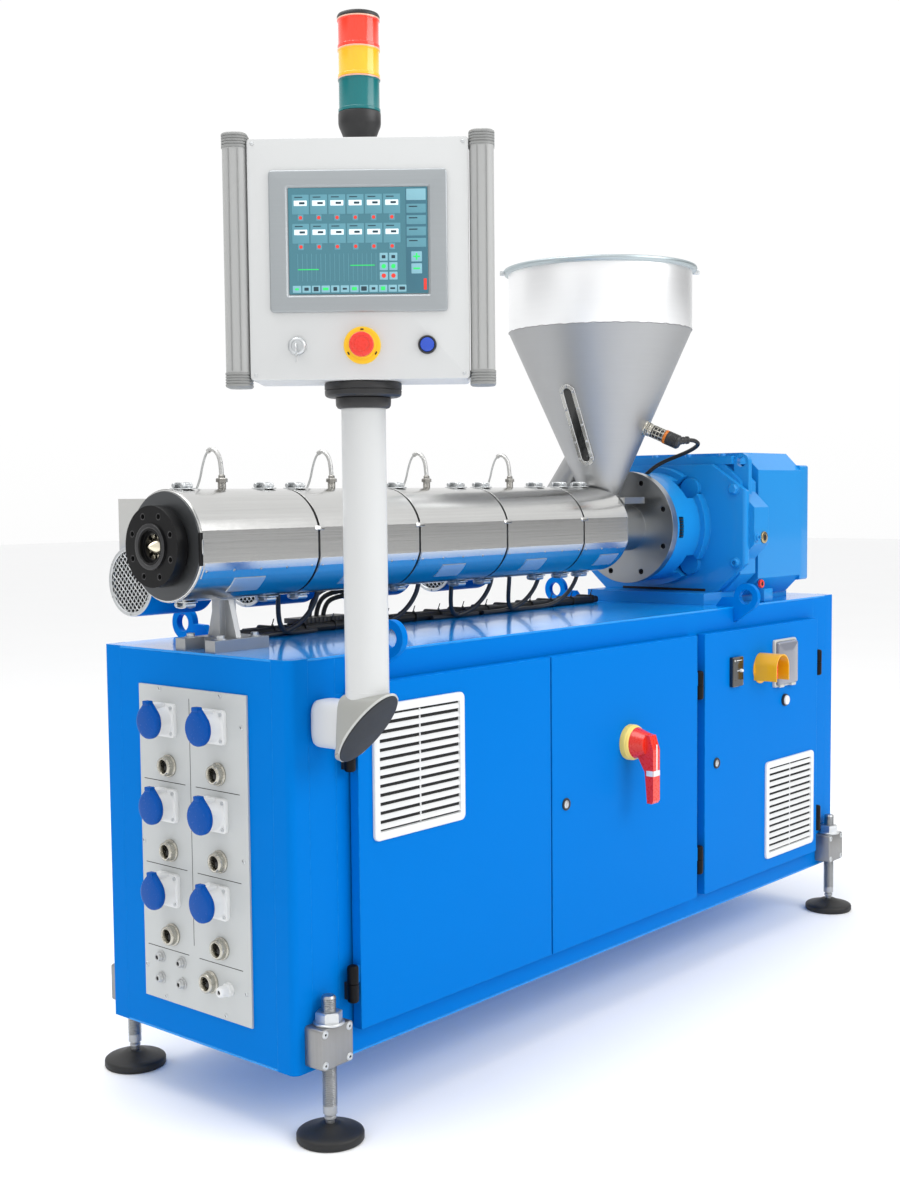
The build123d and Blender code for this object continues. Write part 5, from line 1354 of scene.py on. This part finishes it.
def makeFeet(s):
    blocks, screws, nuts, studs, slots, pads = [], [], [], [], [], []
    for x in s["x"]:
        for y in s["y"]:
            side = -1 if y < 0 else 1
            out = (0, side, 0)
            mid = (x, y - side * s["deep"] / 2, (s["low"] + s["high"]) / 2)
            tall = s["high"] - s["low"]
            blocks.append(nested(mid, out, upward, [(s["wide"], tall, 5, 0.2),
                (s["wide"], tall, 5, s["deep"] - 1.6), (s["wide"] - 1.4, tall - 1.4, 4.6, s["deep"] - 0.4),
                (s["wide"] - 3, tall - 3, 4, s["deep"])], (True, True), 4))
            for dx in (-29.5, 29.5):
                for dz in (-27.5, 27.5):
                    at = (x + dx, y + side * s["deep"] / 2, mid[2] + dz)
                    screws.append(turned([(-1, 7.2), (0.5, 7.2), (0.7, 6.6), (0.1, 6.0), (1.4, 5.7),
                        (1.8, 5.0), (1.8, 2.6), (0.4, 2.4)], at, out, 20))
                    # dull black disc at the bottom of each screw socket: painted shade
                    slots.append(turned([(0.3, 2.5), (0.6, 2.5)], at, out, 6))
            nuts.append(turned([(208, 27), (209, 28), (211, 28), (213, 26)], (x, y, 0), upward, 40))
            nuts.append(turned([(211, 23.4), (212, 24.6), (228, 24.6), (230, 22)], (x, y, 0), upward, 6))
            nuts.append(turned([(229.4, 19), (230.4, 18.6), (230.6, 13)], (x, y, 0), upward, 40))
            ridged = [(s["studLow"], s["stud"] - 0.8)]
            for z in np.arange(s["studLow"] + 1, s["studTop"] - 3, s["pitch"]):
                ridged += [(z, s["stud"] - 1.9), (z + 0.5 * s["pitch"], s["stud"] + 0.2)]
            ridged += [(s["studTop"] - 2.4, s["stud"] - 0.6), (s["studTop"], s["stud"] - 2.6)]
            studs.append(turned(ridged, (x, y, 0), upward, 24))
            studs.append(turned([(26, 8), (36, 8.4), (38, 10.6), (42, 10.6), (44, 8.6), (46, 8.6),
                (47, 12.6), (62, 12.6)], (x, y, 0), upward, 24))
            pads.append(turned([(0, 56), (0.8, 58.6), (3, 60), (12, 60), (14.4, 59), (16.4, 56.4), (19, 47),
                (22, 36), (25.5, 26), (28.6, 20), (30, 17), (30.2, 9)], (x, y, 0), upward, 64))
    makePiece("footPads", pads, "blackRubber", "machine", ["foot_pads"])
    makePiece("footBlocks", blocks, "groundSteel", "machine", ["foot_blocks"])
    makePiece("footScrews", screws, "zincPlate")
    makePiece("footSockets", slots, "dullBlack")
    makePiece("footStuds", studs, "studSteel", "machine", ["foot_spindles"])
    makePiece("footNuts", nuts, "zincPlate", angle=20.0)


makeFeet(feet)
print("feet dressed")

# Cabinet corners: the photo's edges are nearly square, so a filler stands on each rounded corner
corners = {"round": 45.0, "inner": 43.6, "low": 123.0, "high": 847.6, "cap": 848.2,
    "spots": ((0, 0, 1, 1, 15.0), (0, 510, 1, -1, 3.0), (2000, 0, -1, 1, 3.0), (2000, 510, -1, -1, 3.0))}


def makeCorners(s):
    fills, caps = [], []
    full = s["round"]
    a = np.linspace(0, np.pi / 2, 13)
    arc = np.stack([np.cos(a), np.sin(a)], -1)
    for x, y, sx, sy, r in s["spots"]:
        flat = np.concatenate([[(0, full)], r - r * arc, [(full, 0)], (full - s["inner"] * arc[:, ::-1])])
        flat = flat[::-1] if sx * sy < 0 else flat
        spots = flat * (sx, sy) + (x, y)
        for kind, low, high in ((fills, s["low"], s["high"]), (caps, s["high"], s["cap"])):
            kind.append(skin([np.column_stack([spots, np.full(len(flat), z)]) for z in (low, high)]))
    makePiece("cornerFills", fills, "bluePaint")
    # the caps take the lighter top blue: painted light from above
    makePiece("cornerCaps", caps, "topBluePaintedLight")


makeCorners(corners)
print("corners squared")

# Gearbox: screws in the feed flange, case bolts, plugs, drain, rear cover and the nose's vanes
gearbox = {"y": 255.0, "z": 1041.0, "flange": 1389.0, "boltRing": 118.0, "case": 1545.0, "side": -9.0,
    "sideScrew": (1572.0, 1014.5), "oilPlug": (1607.0, 1013.0), "hexBolt": (39.0, 1134.0),
    "lowScrew": (34.0, 951.0), "coverLess": (0.6, 62.0), "coverDeep": 42.0, "topScrews": (1600.0, 1216.0),
    "topRow": (105, 205, 305, 405), "vanes": (1433.0, 129.0), "slot": (245.0, 880.5, 250.0, 6.0),
    "drain": (1665.0, 893.0, 30.0)}


def makeGearbox(s):
    caps = []
    for k in range(8):
        a = math.radians(22.5 + 45 * k)
        at = np.array([s["flange"] + 9, s["y"] + s["boltRing"] * math.cos(a),
            s["z"] + s["boltRing"] * math.sin(a)])
        caps.append(capScrew(at, toDie, 6.6, 8.4))
    makePiece("flangeScrews", caps, "blackSteel")
    x, z = s["sideScrew"]
    at = (x, s["side"], z)
    bolts = [turned([(0, 13), (1.8, 13), (2.2, 12)], at, outward, 24), capScrew(at, outward, 9, 8)]
    y, z = s["hexBolt"]
    at = (s["case"], y, z)
    bolts += [turned([(0, 16), (2, 16), (2.4, 15)], at, toDie, 24), hexHead(at, toDie, 22, 11)]
    y, z = s["lowScrew"]
    at = (s["case"], y, z)
    bolts += [turned([(0, 14), (1.8, 14), (2.2, 13)], at, toDie, 24), capScrew(at, toDie, 10, 9)]
    x, z = s["topScrews"]
    for y in s["topRow"]:
        bolts.append(capScrew((x, y, z), upward, 8, 8))
    makePiece("gearBolts", bolts, "gearBlue")
    x, z = s["oilPlug"]
    at = (x, s["side"], z)
    plug = [turned([(0, 15), (3, 15), (4.4, 14), (5, 12), (5, 8.4), (4, 7.8)], at, outward, 32)]
    makePiece("oilPlug", plug, "brass")
    # dull black disc in the plug's recess: painted shade
    makePiece("oilPlugBore", [turned([(4, 7.9), (4.6, 7.6), (4.8, 0.6)], at, outward, 20)], "dullBlack")
    y, z, wide, tall = s["slot"]
    makePiece("plateSlot", [slab((s["case"] + 0.2, y, z), toDie, upward, wide, tall, 0.6, 1, 0.2, 2)],
        "dullBlack")
    x, z, y = s["drain"]
    at = (x, y, z)
    drain = turned([(-2, 11), (3, 11), (4.4, 10), (4.6, 5.8), (3, 5.4)], at, outward, 28)
    makePiece("drainRing", [drain], "redPlastic")
    block = slab((x + 16, y + 1, z - 29), outward, upward, 44, 32, 14, 2, 1, 3)
    makePiece("drainBlock", [block], "gearBlue")
    # dull black disc in the drain's recess: painted shade
    makePiece("drainBore", [turned([(2.6, 5.6), (3.4, 5.4), (3.6, 0.6)], at, outward, 18)], "dullBlack")
    low, high = (np.array(c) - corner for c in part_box("gearbox_rear"))
    low, high = low * 1000.0, high * 1000.0
    mid = (low + high) / 2
    deep = s["coverDeep"]
    wide, tall = high[1:] - low[1:] - s["coverLess"]
    cover = slab((high[0] - deep, mid[1], mid[2]), (1, 0, 0), upward, wide, tall, deep + 3, 6, 2, 4)
    makePiece("rearCover", [cover], "gearBlue")
    x, y = s["vanes"]
    vanes = [slab((x, y + 1, s["z"]), outward, upward, 19, 50, 1.2, 1, 0.3, 2)]
    for k in range(7):
        vanes.append(slab((x, y, s["z"] - 21 + 7 * k), outward, upward, 18.4, 2.4, 8.4, 0.6, 0.4, 2))
    makePiece("noseVanes", vanes, "dullBlack")


makeGearbox(gearbox)
print("gearbox dressed")

# Floor
side = studio["floorSide"]
floorMesh = bpy.data.meshes.new("studioFloor")
floorMesh.from_pydata([(-side, -side, 0), (side, -side, 0), (side, side, 0), (-side, side, 0)], [],
    [(0, 1, 2, 3)])
floorObject = bpy.data.objects.new("studioFloor", floorMesh)
bpy.context.scene.collection.objects.link(floorObject)
paleFloor = makeFinish("paleFloor", studio["floor"], 0.75, drift=0.02, driftScale=1.5, skin=200, bump=0.02,
    round=0)
floorMesh.materials.append(paleFloor)
